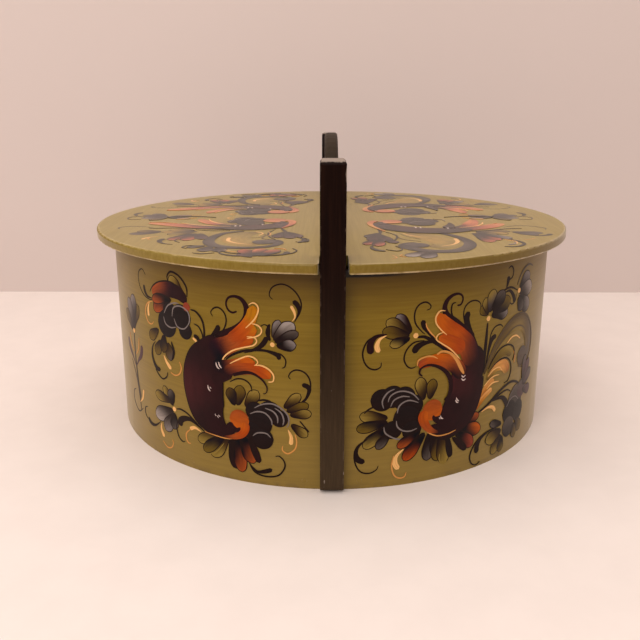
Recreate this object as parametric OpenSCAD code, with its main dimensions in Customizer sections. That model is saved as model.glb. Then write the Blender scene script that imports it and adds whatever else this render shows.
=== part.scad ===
// Round bentwood box. Its flat lid is cut out round two posts and snaps
// down between them. The posts are thin and springy at the foot.
// Origin: middle of the base ring. The posts stand at the front (-Y) and
// at the rear (+Y), and the handle runs from one to the other.

/* [Side band] */
// Outside diameter of the bent band
box_d = 290; // [220:1:360]
// Height of the band
band_h = 124; // [80:1:170]
// Thickness of the bent strip
band_t = 3; // [2:0.1:4]
// How far the outer end of the strip stands proud at the seam
lap_t = 2.4; // [1.2:0.1:3]
// Arc over which the ends of the strip lie on each other, in degrees
lap_arc = 35; // [25:1:40]
// Direction of the strip's outer end, in degrees from +X
lap_end_angle = 28; // [22:1:36]

/* [Seam lacing] */
// Stitches in each vertical row
stitch_count = 8; // [5:1:9]
// Turn back from the strip's end to the outer row, in degrees
outer_row_angle = 4; // [3:0.5:6]
// Turn back from the strip's end to the inner row, in degrees
inner_row_angle = 17; // [12:0.5:22]
// Width of the split root
root_w = 3.2; // [2:0.1:4]
// Thickness of the split root
root_t = 0.9; // [0.6:0.1:1.2]
// Band left free above and below each row
stitch_margin = 15; // [10:1:24]

/* [Bottom board] */
// Thickness of the bottom board
board_t = 8; // [6:0.5:12]
// How far the board is set up from the table
board_recess = 1; // [0.5:0.5:3]
// Wooden pegs through the band on each side of the posts
pegs_per_half = 7; // [5:1:9]
// Diameter of a bottom peg
peg_d = 2.8; // [2:0.1:4]
// How deep a bottom peg goes, from the outside of the band
peg_len = 15; // [10:1:20]
// Turn from the middle of a post to its nearest bottom peg, in degrees
peg_first_angle = 6; // [5:1:10]

/* [Posts] */
// Width of a post, seen from the front
post_w = 13; // [10:0.5:20]
// Height of a post above the top of the lid
post_rise = 50.5; // [40:0.5:60]
// Thickness of a post at its foot, outside the band
post_foot_t = 5; // [4:0.5:7]
// Thickness of a post at the rim, outside the band
post_rim_t = 10.2; // [8:0.1:12]
// How far the head of a post reaches in over the rim
post_reach = 12; // [9:0.5:14]
// How far the inner face swells in over the lid, which holds it down
post_swell = 1.4; // [1:0.1:1.5]
// Height of the fullest part of the swell above the lid
swell_rise = 16; // [14:0.5:20]
// Gap between the foot of a post and the table
post_foot_gap = 1; // [0.5:0.5:3]
// Rounding of the outer edge at the top of a post
post_top_round = 2.4; // [1:0.1:4]
// Rounding of the outer edge at the foot of a post
post_foot_round = 3; // [1:0.1:3.5]
// Rounding of the two upper corners, seen from the front
post_corner_r = 2.2; // [1:0.1:4]
// Rounding of the two lower corners, seen from the front
post_toe_r = 1.4; // [0.5:0.1:3]

/* [Post dowels] */
// Diameter of the dowels that hold a post
dowel_d = 3.6; // [2.5:0.1:4]
// Height of the upper dowel over the lower one
dowel_rise = 17; // [12:0.5:24]
// How deep the lower dowel goes into the bottom board
dowel_depth = 7; // [5:0.5:10]
// Wood left over the blind end of a dowel in the foot
dowel_cover = 1.4; // [1:0.1:2]

/* [Lid] */
// How far the lid stands out past the band
lid_overhang = 10.5; // [8:0.5:14]
// Thickness of the lid
lid_t = 5.5; // [4.5:0.1:8]
// Rounding of the lid's upper edge
lid_top_r = 1.2; // [0.8:0.1:2.6]
// Rounding of the lid's lower edge
lid_under_r = 1; // [0.6:0.1:1.8]
// Play between the lid and the left side of a post
notch_gap_left = 0.5; // [0.3:0.1:2.5]
// Play between the lid and the right side of a post
notch_gap_right = 1.6; // [0.3:0.1:2.5]
// Rounding where a notch opens at the rim
notch_mouth_r = 3; // [1.5:0.5:4]

/* [Handle] */
// Width of the handle
handle_w = 8.5; // [8:0.5:12]
// Thickness of the handle
handle_t = 10; // [8:0.5:12]
// Height of the handle above the top of the lid
handle_rise = 57; // [50:0.5:60]
// Radius of the grip, along its middle line
grip_r = 75; // [60:1:80]
// Radius of the bend where the grip meets a foot
bend_r = 20; // [14:1:24]
// Rounding along the handle's edges
handle_edge_r = 2.4; // [1:0.1:2.4]
// Thickness of a foot at its end
foot_tip_t = 5.5; // [5:0.5:8]
// Gap between the end of a foot and the post
foot_end_gap = 7; // [5:0.5:10]
// Diameter of the pegs through the handle's feet
handle_peg_d = 4.6; // [3:0.1:5]

/* [Hidden] */
$fn = 96;

olive = [0.47, 0.43, 0.20];
dark_brown = [0.17, 0.11, 0.09];
birch = [0.76, 0.64, 0.45];
root_brown = [0.52, 0.40, 0.20];

// Running clearances
board_gap = 0.1;      // board to band
peg_gap = 0.05;       // glued peg or dowel to its hole
post_gap = 0.3;       // post to band
tilt_gap = 0.35;      // dowel to its hole in the band and the board, as a post leans
notch_end_gap = 0.4;  // lid notch to the inner face of a post
root_gap = 0.15;      // root to its slit
cut = 1;              // how far a cutting shape runs past what it cuts
corner_ease = 1.03;   // flattening of a post's upper corners
lap_room = lap_t + 4; // how far a shape must reach past the band to clear the lap

box_r = box_d / 2;
inner_r = box_r - band_t;
lid_r = box_r + lid_overhang;
lid_top = band_h + lid_t;
board_mid = board_recess + board_t / 2;

// The lap is a crescent: a circle set off-centre towards the strip's end
lap_shift = lap_t / (1 - cos(lap_arc));
lap_circle_r = box_r + lap_t - lap_shift;
lap_end_bevel = 1.4;  // degrees by which the strip's end leans back
function lap_face_r(turn) = box_r + lap_t - lap_shift * (1 - cos(turn));

stitch_pitch = (band_h - 2 * stitch_margin) / stitch_count;
slit_h = 2 * root_t + 3 * root_gap;

// A post, drawn as distance out from the axis against height
post_inner_r = box_r + post_gap;
post_foot_r = post_inner_r + post_foot_t;
post_face_r = box_r + post_rim_t;
post_head_r = box_r - post_reach;
post_top = lid_top + post_rise;
post_bow_h = band_h - post_foot_gap;
post_bow_r = (pow(post_bow_h, 2) + pow(post_face_r - post_foot_r, 2)) / (2 * (post_face_r - post_foot_r));
swell_r = pow(swell_rise, 2) / (2 * post_swell);
swell_z = lid_top + swell_rise;
dowel_end_r = post_foot_r - dowel_cover;

// The handle's middle line: foot, bend, grip, bend, foot
handle_mid_rise = handle_rise - handle_t;
sweep = acos(1 - handle_mid_rise / (grip_r + bend_r));
grip_z = lid_top + handle_rise - handle_t / 2 - grip_r;
bend_y = (grip_r + bend_r) * sin(sweep);
bend_z = lid_top + handle_t / 2 + bend_r;
foot_end_y = post_head_r - post_swell - foot_end_gap;
foot_nose = handle_w / 2;
foot_len = foot_end_y - foot_nose - bend_y;
handle_peg_y = [bend_y + foot_len * 0.25, bend_y + foot_len * 0.8];

// Turns a side view, drawn as [distance out, height], into a slab across X
module slab(width) {
  rotate([90, 0, 90])
    translate([0, 0, -width / 2])
      linear_extrude(width) children();
}

// Puts a rear piece at the front
module at_front() {
  rotate([0, 0, 180]) children();
}

// A round pin that lies along a radius, from r1 out to r2
module radial_pin(turn, z, r1, r2, d) {
  rotate([0, 0, turn])
    translate([r1, 0, z])
      rotate([0, 90, 0]) cylinder(h = r2 - r1, d = d, $fn = 32);
}

// ---- Side band -------------------------------------------------------

// The outside of the band, with the lap, as a solid block
module band_outside() {
  cylinder(h = band_h, r = box_r, $fn = 180);
  intersection() {
    rotate([0, 0, lap_end_angle])
      translate([lap_shift, 0, 0]) cylinder(h = band_h, r = lap_circle_r, $fn = 180);
    lap_wedge();
  }
}

// Keeps only the lapped side of the crescent, up to the strip's end
module lap_wedge() {
  reach = box_r + lap_room;
  start = lap_end_angle - lap_arc - 4;
  middle = lap_end_angle - lap_arc / 2;
  linear_extrude(band_h)
    polygon([[0, 0],
             reach * [cos(start), sin(start)],
             reach * 1.2 * [cos(middle), sin(middle)],
             reach * [cos(lap_end_angle - lap_end_bevel), sin(lap_end_angle - lap_end_bevel)],
             (box_r - cut) * [cos(lap_end_angle), sin(lap_end_angle)]]);
}

// Where the bottom pegs lie, as turns from +X
peg_step = (180 - 2 * peg_first_angle) / (pegs_per_half - 1);
peg_turns = [for (half = [-90, 90], i = [0 : pegs_per_half - 1]) half + peg_first_angle + i * peg_step];

module bottom_peg_holes() {
  for (turn = peg_turns)
    radial_pin(turn, board_mid, box_r - peg_len - cut, box_r + lap_room, peg_d + 2 * peg_gap);
}

// Turns a child, drawn on +X, to a lacing row
module at_row(turn) {
  rotate([0, 0, lap_end_angle - turn]) children();
}

module stitch_slits(turn) {
  at_row(turn)
    for (i = [0 : stitch_count])
      translate([inner_r - cut, -root_w / 2 - root_gap, stitch_margin + i * stitch_pitch - slit_h / 2])
        cube([band_t + lap_t + 2 * cut, root_w + 2 * root_gap, slit_h]);
}

// The feathered inner end of the strip shows as a fine line inside
module inner_end_line() {
  line_w = 0.5;
  rotate([0, 0, lap_end_angle - lap_arc * 0.8])
    translate([inner_r - cut, -line_w / 2, -cut]) cube([cut + 0.6, line_w, band_h + 2 * cut]);
}

module side_band() {
  color(olive)
    difference() {
      band_outside();
      translate([0, 0, -cut]) cylinder(h = band_h + 2 * cut, r = inner_r, $fn = 180);
      bottom_peg_holes();
      stitch_slits(outer_row_angle);
      stitch_slits(inner_row_angle);
      inner_end_line();
      dowel_clearance();
      at_front() dowel_clearance();
    }
}

// One stitch: a closed loop of root through two slits
module stitch(face_r) {
  loop_h = stitch_pitch - root_gap;
  depth_in = inner_r - root_gap / 3;
  depth_out = face_r + root_gap / 3;
  rotate([90, 0, 0])
    translate([0, 0, -root_w / 2])
      linear_extrude(root_w)
        difference() {
          translate([0, root_gap / 2])
            rounded_slab_2d([depth_in - root_t, 0], [depth_out + root_t, loop_h], root_t);
          translate([depth_in, root_gap / 2 + root_t]) square([depth_out - depth_in, loop_h - 2 * root_t]);
        }
}

// Rectangle from one corner to the other, with round corners
module rounded_slab_2d(low, high, r) {
  size = high - low;
  translate([low.x + r, low.y]) square([size.x - 2 * r, size.y]);
  translate([low.x, low.y + r]) square([size.x, size.y - 2 * r]);
  for (x = [low.x + r, high.x - r], y = [low.y + r, high.y - r])
    translate([x, y]) circle(r = r, $fn = 32);
}

module seam_root(turn) {
  color(root_brown)
    at_row(turn)
      for (i = [0 : stitch_count - 1])
        translate([0, 0, stitch_margin + i * stitch_pitch]) stitch(lap_face_r(turn));
}

// ---- Bottom ----------------------------------------------------------

module bottom_board() {
  color(birch)
    difference() {
      translate([0, 0, board_recess]) cylinder(h = board_t, r = inner_r - board_gap, $fn = 180);
      bottom_peg_holes();
      dowel_clearance();
      at_front() dowel_clearance();
    }
}

module bottom_pegs() {
  color(olive)
    intersection() {
      union() {
        for (turn = peg_turns)
          radial_pin(turn, board_mid, box_r - peg_len, box_r + lap_room, peg_d);
      }
      band_outside();
    }
}

// ---- Posts -----------------------------------------------------------

// Everything inside the bowed outer face of a post
module post_bow_2d() {
  translate([post_face_r - post_bow_r, band_h]) circle(r = post_bow_r, $fn = 360);
}

// The side view of a post
module post_side_2d() {
  // Leg: outside the band, bowed in towards the foot
  difference() {
    intersection() {
      translate([post_inner_r - cut, post_foot_gap])
        square([post_face_r - post_inner_r + cut, band_h - post_foot_gap + cut]);
      post_bow_2d();
    }
    translate([post_foot_r - post_foot_round, post_foot_gap]) foot_round_2d();
  }
  // Head: over the rim, with the swell that holds the lid down
  head_low = band_h + post_gap;
  difference() {
    translate([post_head_r - post_swell - cut, head_low])
      square([post_face_r - post_head_r + post_swell + cut, post_top - head_low]);
    difference() {
      translate([post_head_r - post_swell - 2 * cut, lid_top])
        square([post_face_r - post_head_r, post_top - lid_top + cut]);
      translate([post_head_r - post_swell + swell_r, swell_z]) circle(r = swell_r, $fn = 360);
    }
    translate([post_head_r - post_swell - 2 * cut, head_low - cut])
      square([post_swell + 2 * cut, lid_top - head_low + cut]);
    translate([post_face_r, post_top]) corner_round_2d(post_top_round);
  }
}

// What is taken off the lower outer corner of a post
module foot_round_2d() {
  difference() {
    translate([0, -cut]) square([post_foot_round + cut, post_foot_round + cut]);
    translate([0, post_foot_round]) circle(r = post_foot_round, $fn = 48);
  }
}

// What is taken off an upper outer corner at the origin. A flatter arc, with
// ease over 1, meets both sides at a slight angle, as a carved corner does.
module corner_round_2d(r, ease = 1) {
  difference() {
    translate([-r, -r]) square([r + cut, r + cut]);
    translate([-r, -r]) circle(r = r * ease, $fn = 48);
  }
}

// The front view of a post: round at the top corners and at the toe
module post_front_2d() {
  half = post_w / 2;
  difference() {
    translate([-half, post_foot_gap - cut]) square([post_w, post_top - post_foot_gap + 2 * cut]);
    for (side = [-1, 1]) {
      scale([side, 1]) translate([half, post_top]) corner_round_2d(post_corner_r, corner_ease);
      scale([side, -1]) translate([half, -post_foot_gap]) corner_round_2d(post_toe_r);
    }
  }
}

// The two dowels of a post: the lower one goes into the bottom board
module dowel_pair(d, extra) {
  radial_pin(90, board_mid, inner_r - dowel_depth - extra, dowel_end_r + extra, d);
  radial_pin(90, board_mid + dowel_rise, inner_r - extra, dowel_end_r + extra, d);
}

module dowel_clearance() {
  dowel_pair(dowel_d + 2 * tilt_gap, tilt_gap);
}

module post() {
  color(dark_brown)
    difference() {
      intersection() {
        slab(post_w) post_side_2d();
        rotate([90, 0, 0])
          translate([0, 0, -post_face_r - cut]) linear_extrude(post_face_r) post_front_2d();
      }
      cylinder(h = band_h + post_gap, r = post_inner_r, $fn = 180);
      dowel_pair(dowel_d + 2 * peg_gap, peg_gap);
    }
}

module post_dowels() {
  color(birch) dowel_pair(dowel_d, 0);
}

// ---- Lid -------------------------------------------------------------

// Half of the lid's section, with its rounded rim
module lid_section_2d() {
  translate([0, lid_under_r]) square([lid_r, lid_t - lid_top_r - lid_under_r]);
  square([lid_r - lid_under_r, lid_t - lid_top_r]);
  translate([0, lid_t / 2]) square([lid_r - lid_top_r, lid_t / 2]);
  translate([lid_r - lid_under_r, lid_under_r]) circle(r = lid_under_r, $fn = 32);
  translate([lid_r - lid_top_r, lid_t - lid_top_r]) circle(r = lid_top_r, $fn = 32);
}

// The plan of the rear notch, with eased corners where it opens
module notch_2d() {
  left = post_w / 2 + notch_gap_left;
  right = post_w / 2 + notch_gap_right;
  end_r = post_head_r - notch_end_gap;
  translate([-left, end_r]) square([left + right, lid_r - end_r + cut]);
  translate([right, 0]) notch_mouth_2d(right);
  mirror([1, 0]) translate([left, 0]) notch_mouth_2d(left);
}

// One eased corner of a notch whose side lies at this distance from the middle
module notch_mouth_2d(half) {
  mouth = sqrt(pow(lid_r, 2) - pow(half + notch_mouth_r, 2));
  translate([0, mouth - notch_mouth_r])
    difference() {
      square([notch_mouth_r, notch_mouth_r + 2 * cut]);
      translate([notch_mouth_r, 0]) circle(r = notch_mouth_r, $fn = 48);
    }
}

module lid_board() {
  color(olive)
    difference() {
      translate([0, 0, band_h]) rotate_extrude($fn = 180) lid_section_2d();
      for (side = [0, 1])
        mirror([0, side, 0])
          translate([0, 0, band_h - cut]) linear_extrude(lid_t + 2 * cut) notch_2d();
      handle_peg_set(band_h - cut, lid_top + cut, handle_peg_d + 2 * peg_gap);
    }
}

// ---- Handle ----------------------------------------------------------

// The handle is swept through stations, from the grip's middle to the end
// of a foot: [y, z, slope down in degrees, thickness, width]
grip_steps = 12;
bend_steps = 6;
nose_steps = 4;

function foot_t(share) = handle_t + (foot_tip_t - handle_t) * share;

function grip_stations() =
  [for (i = [0 : grip_steps])
    let (a = sweep * i / grip_steps)
    [grip_r * sin(a), grip_z + grip_r * cos(a), a, handle_t, handle_w]];

function bend_stations() =
  [for (i = [1 : bend_steps])
    let (a = sweep * (1 - i / bend_steps))
    [bend_y - bend_r * sin(a), bend_z - bend_r * cos(a), a, handle_t, handle_w]];

// The foot thins towards its end, which is round when seen from above
function foot_stations() =
  [for (i = [0 : nose_steps])
    let (a = 75 * i / nose_steps, t = foot_t(1) - (1 - cos(a)) * foot_tip_t / 3)
    [bend_y + foot_len + foot_nose * sin(a), lid_top + t / 2, 0, t, handle_w * cos(a) + 0.4]];

function half_stations() = concat(grip_stations(), bend_stations(), foot_stations());

// The same half at the front, told from the foot's end to the grip
function mirrored(stations) =
  [for (i = [len(stations) - 1 : -1 : 1])
    let (s = stations[i])
    [-s[0], s[1], -s[2], s[3], s[4]]];

// A round-cornered section as [across, along the thickness]
corner_steps = 3;
function section(t, w) =
  let (r = min(handle_edge_r, w / 2 - 0.05, t / 2 - 0.05))
  [for (corner = [0 : 3], i = [0 : corner_steps])
    let (a = 90 * corner + 90 * i / corner_steps,
         mid = [(corner == 0 || corner == 3 ? 1 : -1) * (w / 2 - r), (corner < 2 ? 1 : -1) * (t / 2 - r)])
    mid + r * [cos(a), sin(a)]];

function ring(s) =
  [for (p = section(s[3], s[4]))
    [p[0], s[0] + p[1] * sin(s[2]), s[1] + p[1] * cos(s[2])]];

module sweep_rings(rings) {
  n = len(rings[0]);
  last = len(rings) - 1;
  sides = [for (i = [0 : last - 1], j = [0 : n - 1])
    let (a = i * n + j, b = i * n + (j + 1) % n)
    each [[a, b, b + n], [a, b + n, a + n]]];
  caps = [[for (j = [n - 1 : -1 : 0]) j], [for (j = [0 : n - 1]) last * n + j]];
  polyhedron(points = [for (r = rings) each r], faces = concat(sides, caps));
}

module handle_peg_set(z1, z2, d) {
  for (y = handle_peg_y, side = [-1, 1])
    translate([0, side * y, z1]) cylinder(h = z2 - z1, d = d, $fn = 48);
}

module handle() {
  half = half_stations();
  color(dark_brown)
    difference() {
      sweep_rings([for (s = concat(mirrored(half), half)) ring(s)]);
      handle_peg_set(lid_top - cut, lid_top + handle_t + cut, handle_peg_d + 2 * peg_gap);
    }
}

// A peg's upper end is cut off level with the foot at its lower edge
module handle_pegs() {
  color(birch)
    for (i = [0 : 1]) {
      share = (handle_peg_y[i] - bend_y) / foot_len;
      for (side = [-1, 1])
        translate([0, side * handle_peg_y[i], band_h])
          cylinder(h = lid_t + foot_t(share) - 0.3, d = handle_peg_d, $fn = 48);
    }
}

side_band();
seam_root(outer_row_angle);  // seam_root_outer
seam_root(inner_row_angle);  // seam_root_inner
bottom_board();
bottom_pegs();
at_front() post();  // post_front
at_front() post_dowels();  // post_front_dowels
post();  // post_rear
post_dowels();  // post_rear_dowels
lid_board();
handle();
handle_pegs();
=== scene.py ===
import math
from functools import partial

import bmesh
import bpy
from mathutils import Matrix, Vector


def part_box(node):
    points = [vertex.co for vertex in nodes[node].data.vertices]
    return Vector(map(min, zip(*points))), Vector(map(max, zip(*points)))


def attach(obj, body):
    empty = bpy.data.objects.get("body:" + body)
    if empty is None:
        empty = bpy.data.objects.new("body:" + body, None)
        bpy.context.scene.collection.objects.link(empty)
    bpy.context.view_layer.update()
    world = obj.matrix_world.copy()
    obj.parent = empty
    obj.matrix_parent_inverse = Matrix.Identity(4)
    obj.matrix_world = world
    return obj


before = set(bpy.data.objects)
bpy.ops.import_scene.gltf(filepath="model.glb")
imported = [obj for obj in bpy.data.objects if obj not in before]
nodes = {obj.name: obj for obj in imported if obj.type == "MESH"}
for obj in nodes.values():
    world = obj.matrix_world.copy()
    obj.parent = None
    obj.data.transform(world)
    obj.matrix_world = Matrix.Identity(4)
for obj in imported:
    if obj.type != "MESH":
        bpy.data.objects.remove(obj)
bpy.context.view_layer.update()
mm = 0.001

cameraSet = {
    "place": (-0.0042, -0.5275, 0.2090),  # metres, at the height of a seated viewer
    "downDeg": 16.2,
    "leftDeg": 0.345,
    "lens": 43.1,
    "sensor": 36.0,
}


def makeCamera(opt):
    data = bpy.data.cameras.new("viewCamera")
    data.lens = opt["lens"]
    data.sensor_width = opt["sensor"]
    data.clip_start = 0.02
    cam = bpy.data.objects.new("viewCamera", data)
    cam.location = opt["place"]
    cam.rotation_euler = (math.radians(90 - opt["downDeg"]), 0, math.radians(opt["leftDeg"]))
    bpy.context.scene.collection.objects.link(cam)
    bpy.context.scene.camera = cam


makeCamera(cameraSet)
print("camera made")


class Wire:
    # an output socket that can be used in sums
    def __init__(self, board, socket):
        self.board = board
        self.socket = socket

    def maths(self, operation, other=None, flip=False):
        values = [self] if other is None else [self, other]
        if flip:
            values.reverse()
        return self.board.add("ShaderNodeMath", {"operation": operation}, dict(enumerate(values)))[0]

    def __add__(self, other):
        return self.maths("ADD", other)

    def __radd__(self, other):
        return self.maths("ADD", other)

    def __sub__(self, other):
        return self.maths("SUBTRACT", other)

    def __rsub__(self, other):
        return self.maths("SUBTRACT", other, flip=True)

    def __mul__(self, other):
        return self.maths("MULTIPLY", other)

    def __rmul__(self, other):
        return self.maths("MULTIPLY", other)

    def __truediv__(self, other):
        return self.maths("DIVIDE", other)

    def ramp(self, low, high):
        # 0 below low, 1 above high, smooth between
        sockets = {"Value": self, "From Min": low, "From Max": high}
        return self.board.add("ShaderNodeMapRange", {"interpolation_type": "SMOOTHSTEP"}, sockets)[0]


class Board:
    # one node tree, of a new material unless it is given, drawn one node at a time
    def __init__(self, name, tree=None):
        if tree is None:
            self.material = bpy.data.materials.new(name)
            self.material.use_nodes = True
            tree = self.material.node_tree
            tree.nodes.clear()
        self.tree = tree

    def add(self, kind, settings=None, sockets=None):
        node = self.tree.nodes.new(kind)
        for key, value in (settings or {}).items():
            setattr(node, key, value)
        for key, value in (sockets or {}).items():
            if isinstance(value, Wire):
                self.tree.links.new(value.socket, node.inputs[key])
            else:
                node.inputs[key].default_value = value
        return [Wire(self, out) for out in node.outputs]

    def place(self):
        return self.add("ShaderNodeTexCoord")[3]

    def split(self, vector):
        return self.add("ShaderNodeSeparateXYZ", None, {0: vector})

    def join(self, x, y, z):
        return self.add("ShaderNodeCombineXYZ", None, {0: x, 1: y, 2: z})[0]

    def scaled(self, vector, factors):
        sockets = {0: vector, 1: factors}
        return self.add("ShaderNodeVectorMath", {"operation": "MULTIPLY"}, sockets)[0]

    def noise(self, vector, scale, detail=3.0, rough=0.55, warp=0.0):
        sockets = {"Vector": vector, "Scale": scale, "Detail": detail, "Roughness": rough, "Distortion": warp}
        return self.add("ShaderNodeTexNoise", None, sockets)[0]

    def mix(self, factor, first, second, blend="MIX"):
        settings = {"data_type": "RGBA", "blend_type": blend}
        return self.add("ShaderNodeMix", settings, {0: factor, 6: first, 7: second})[2]

    def bump(self, height, distance):
        return self.add("ShaderNodeBump", None, {"Height": height, "Distance": distance, "Strength": 1.0})[0]

    def finish(self, colour, rough, normal, **fixed):
        sockets = {"Base Color": colour, "Roughness": rough, "Normal": normal}
        for key, value in fixed.items():
            sockets[key.replace("_", " ")] = value
        shader = self.add("ShaderNodeBsdfPrincipled", None, sockets)[0]
        self.add("ShaderNodeOutputMaterial", None, {"Surface": shader})
        return self.material


def linear(r, g, b):
    # a colour picked on screen, 0 to 255, as Blender keeps it
    def one(v):
        v = v / 255
        return v / 12.92 if v <= 0.04045 else ((v + 0.055) / 1.055) ** 2.4
    return (one(r), one(g), one(b), 1.0)


# sizes that several finishes share, in metres, read off the part where it has them
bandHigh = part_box("side_band")[1]
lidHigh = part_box("lid_board")[1]
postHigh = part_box("post_front")[1]
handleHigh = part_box("handle")[1]
bandR, bandTop = bandHigh[1], bandHigh[2]
lidR, lidTop = lidHigh[0], lidHigh[2]
postHalf, postTop = postHigh[0], postHigh[2]
handleHalf, handleTop = handleHigh[0], handleHigh[2]
notchSide = 0.0071  # left side of the lid's front notch, from the middle

stageSet = {
    "floorColour": (230, 216, 208),
    "floorSpeck": 3,     # how much darker its specks are
    "floorRough": 0.55,
    "backColour": (210, 193, 186),
    "backCloud": 4,
    "backRough": 0.9,
    "floorSize": 5.0,
    "backY": 0.304,
    "backHeight": 2.5,
    "skyColour": (255, 250, 247),
    "skyStrength": 0.30,
    "lamps": [
        # place, target, size, watts, colour
        ((-0.06, 0.05, 1.35), (0, 0, 0), 1.5, 16.0, (255, 250, 246)),
        ((-0.5, -1.5, 1.25), (0, 0, 0.08), 1.1, 19.0, (255, 249, 244)),
        ((-1.3, -0.5, 0.8), (0, 0, 0.06), 0.9, 3.2, (255, 249, 244)),
        ((1.3, -0.5, 0.8), (0, 0, 0.06), 0.9, 2.6, (255, 249, 244)),
    ],
}


def sheetMesh(name, corners):
    mesh = bpy.data.meshes.new(name)
    mesh.from_pydata(corners, [], [tuple(range(len(corners)))])
    obj = bpy.data.objects.new(name, mesh)
    bpy.context.scene.collection.objects.link(obj)
    return obj


def oneSided(b, colour, rough):
    # seen from behind it is clear, so that it never stands between the part and a viewer
    front = b.add("ShaderNodeBsdfPrincipled", None, {"Base Color": colour, "Roughness": rough})[0]
    clear = b.add("ShaderNodeBsdfTransparent")[0]
    behind = b.add("ShaderNodeNewGeometry")[6]
    shader = b.add("ShaderNodeMixShader", None, {0: behind, 1: front, 2: clear})[0]
    b.add("ShaderNodeOutputMaterial", None, {"Surface": shader})
    return b.material


def darker(colour, amount):
    return linear(*[c - amount for c in colour])


def floorFinish(opt):
    b = Board("paleTable")
    pale = opt["floorColour"]
    speck = b.noise(b.place(), 35.0, 3.0).ramp(0.3, 0.7)
    colour = b.mix(speck, linear(*pale), darker(pale, opt["floorSpeck"]))
    return oneSided(b, colour, opt["floorRough"])


def backFinish(opt):
    b = Board("paleBackdrop")
    pale = opt["backColour"]
    cloud = b.noise(b.place(), 3.0, 2.0)
    colour = b.mix(cloud, linear(*pale), darker(pale, opt["backCloud"]))
    return oneSided(b, colour, opt["backRough"])


def makeStage(opt):
    s, y, top = opt["floorSize"] / 2, opt["backY"], opt["backHeight"]
    floor = sheetMesh("floor", [(-s, -s, 0), (s, -s, 0), (s, s, 0), (-s, s, 0)])
    floor.data.materials.append(floorFinish(opt))
    back = sheetMesh("backdrop", [(-s, y, 0), (s, y, 0), (s, y, top), (-s, y, top)])
    back.data.materials.append(backFinish(opt))
    world = bpy.data.worlds.new("softRoom")
    bpy.context.scene.world = world
    world.use_nodes = True
    sky = world.node_tree.nodes["Background"]
    sky.inputs[0].default_value = linear(*opt["skyColour"])
    sky.inputs[1].default_value = opt["skyStrength"]
    for i, (place, target, size, watts, colour) in enumerate(opt["lamps"]):
        lamp = bpy.data.lights.new("lamp%d" % i, "AREA")
        lamp.size = size
        lamp.energy = watts
        lamp.color = linear(*colour)[:3]
        obj = bpy.data.objects.new("lamp%d" % i, lamp)
        obj.location = place
        obj.rotation_euler = (Vector(target) - Vector(place)).to_track_quat("-Z", "Y").to_euler()
        bpy.context.scene.collection.objects.link(obj)
    bpy.context.scene.view_settings.view_transform = "Standard"


makeStage(stageSet)
print("stage and lamps made")

# satin varnish over every painted face: little shine straight on, a haze at a glance
varnish = {
    "Coat_Weight": 1.0, "Coat_Roughness": 0.34, "Coat_IOR": 1.3, "Specular_IOR_Level": 0.0,
    "Sheen_Weight": 0.3, "Sheen_Roughness": 0.35, "Sheen_Tint": (1.0, 0.88, 0.74, 1.0),
}

oliveSet = {
    "deep": (108, 82, 4),
    "light": (134, 108, 26),
    # the lid's olive, painted paler than the wall's as light on its top
    "litLidDeep": (126, 102, 24),
    "litLidLight": (154, 130, 60),
    "shade": (76, 50, 0),
    # paler colour painted towards the foot, as light from the floor
    "dull": (150, 124, 76),
    # pale colour of worn paint on the rim's lower edge, also used for painted highlights
    "paleWearAndHighlight": (206, 182, 140),
    "grimeAndShadow": (64, 44, 16),
    "gapShadow": (0.002, 0.001, 0.001, 1.0),  # as light, not as picked on screen
    # brush marks, finer marks and clouds, in waves per metre along each axis
    "wallMarks": ((22.0, 1.0, 700.0), (60.0, 1.0, 2200.0), (14.0, 1.0, 22.0)),
    "wallRubs": (120.0, 1.0, 160.0),
    "lidMarks": ((700.0, 20.0, 300.0), (2200.0, 60.0, 900.0)),
    "lidClouds": 16.0,
    "lidChips": 90.0,
    "markDepth": 0.00006,
    "shadowFadeArc": (0.06, 0.16),  # metres round from the post, where the painted shadow under the lid grows weaker
}


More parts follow.
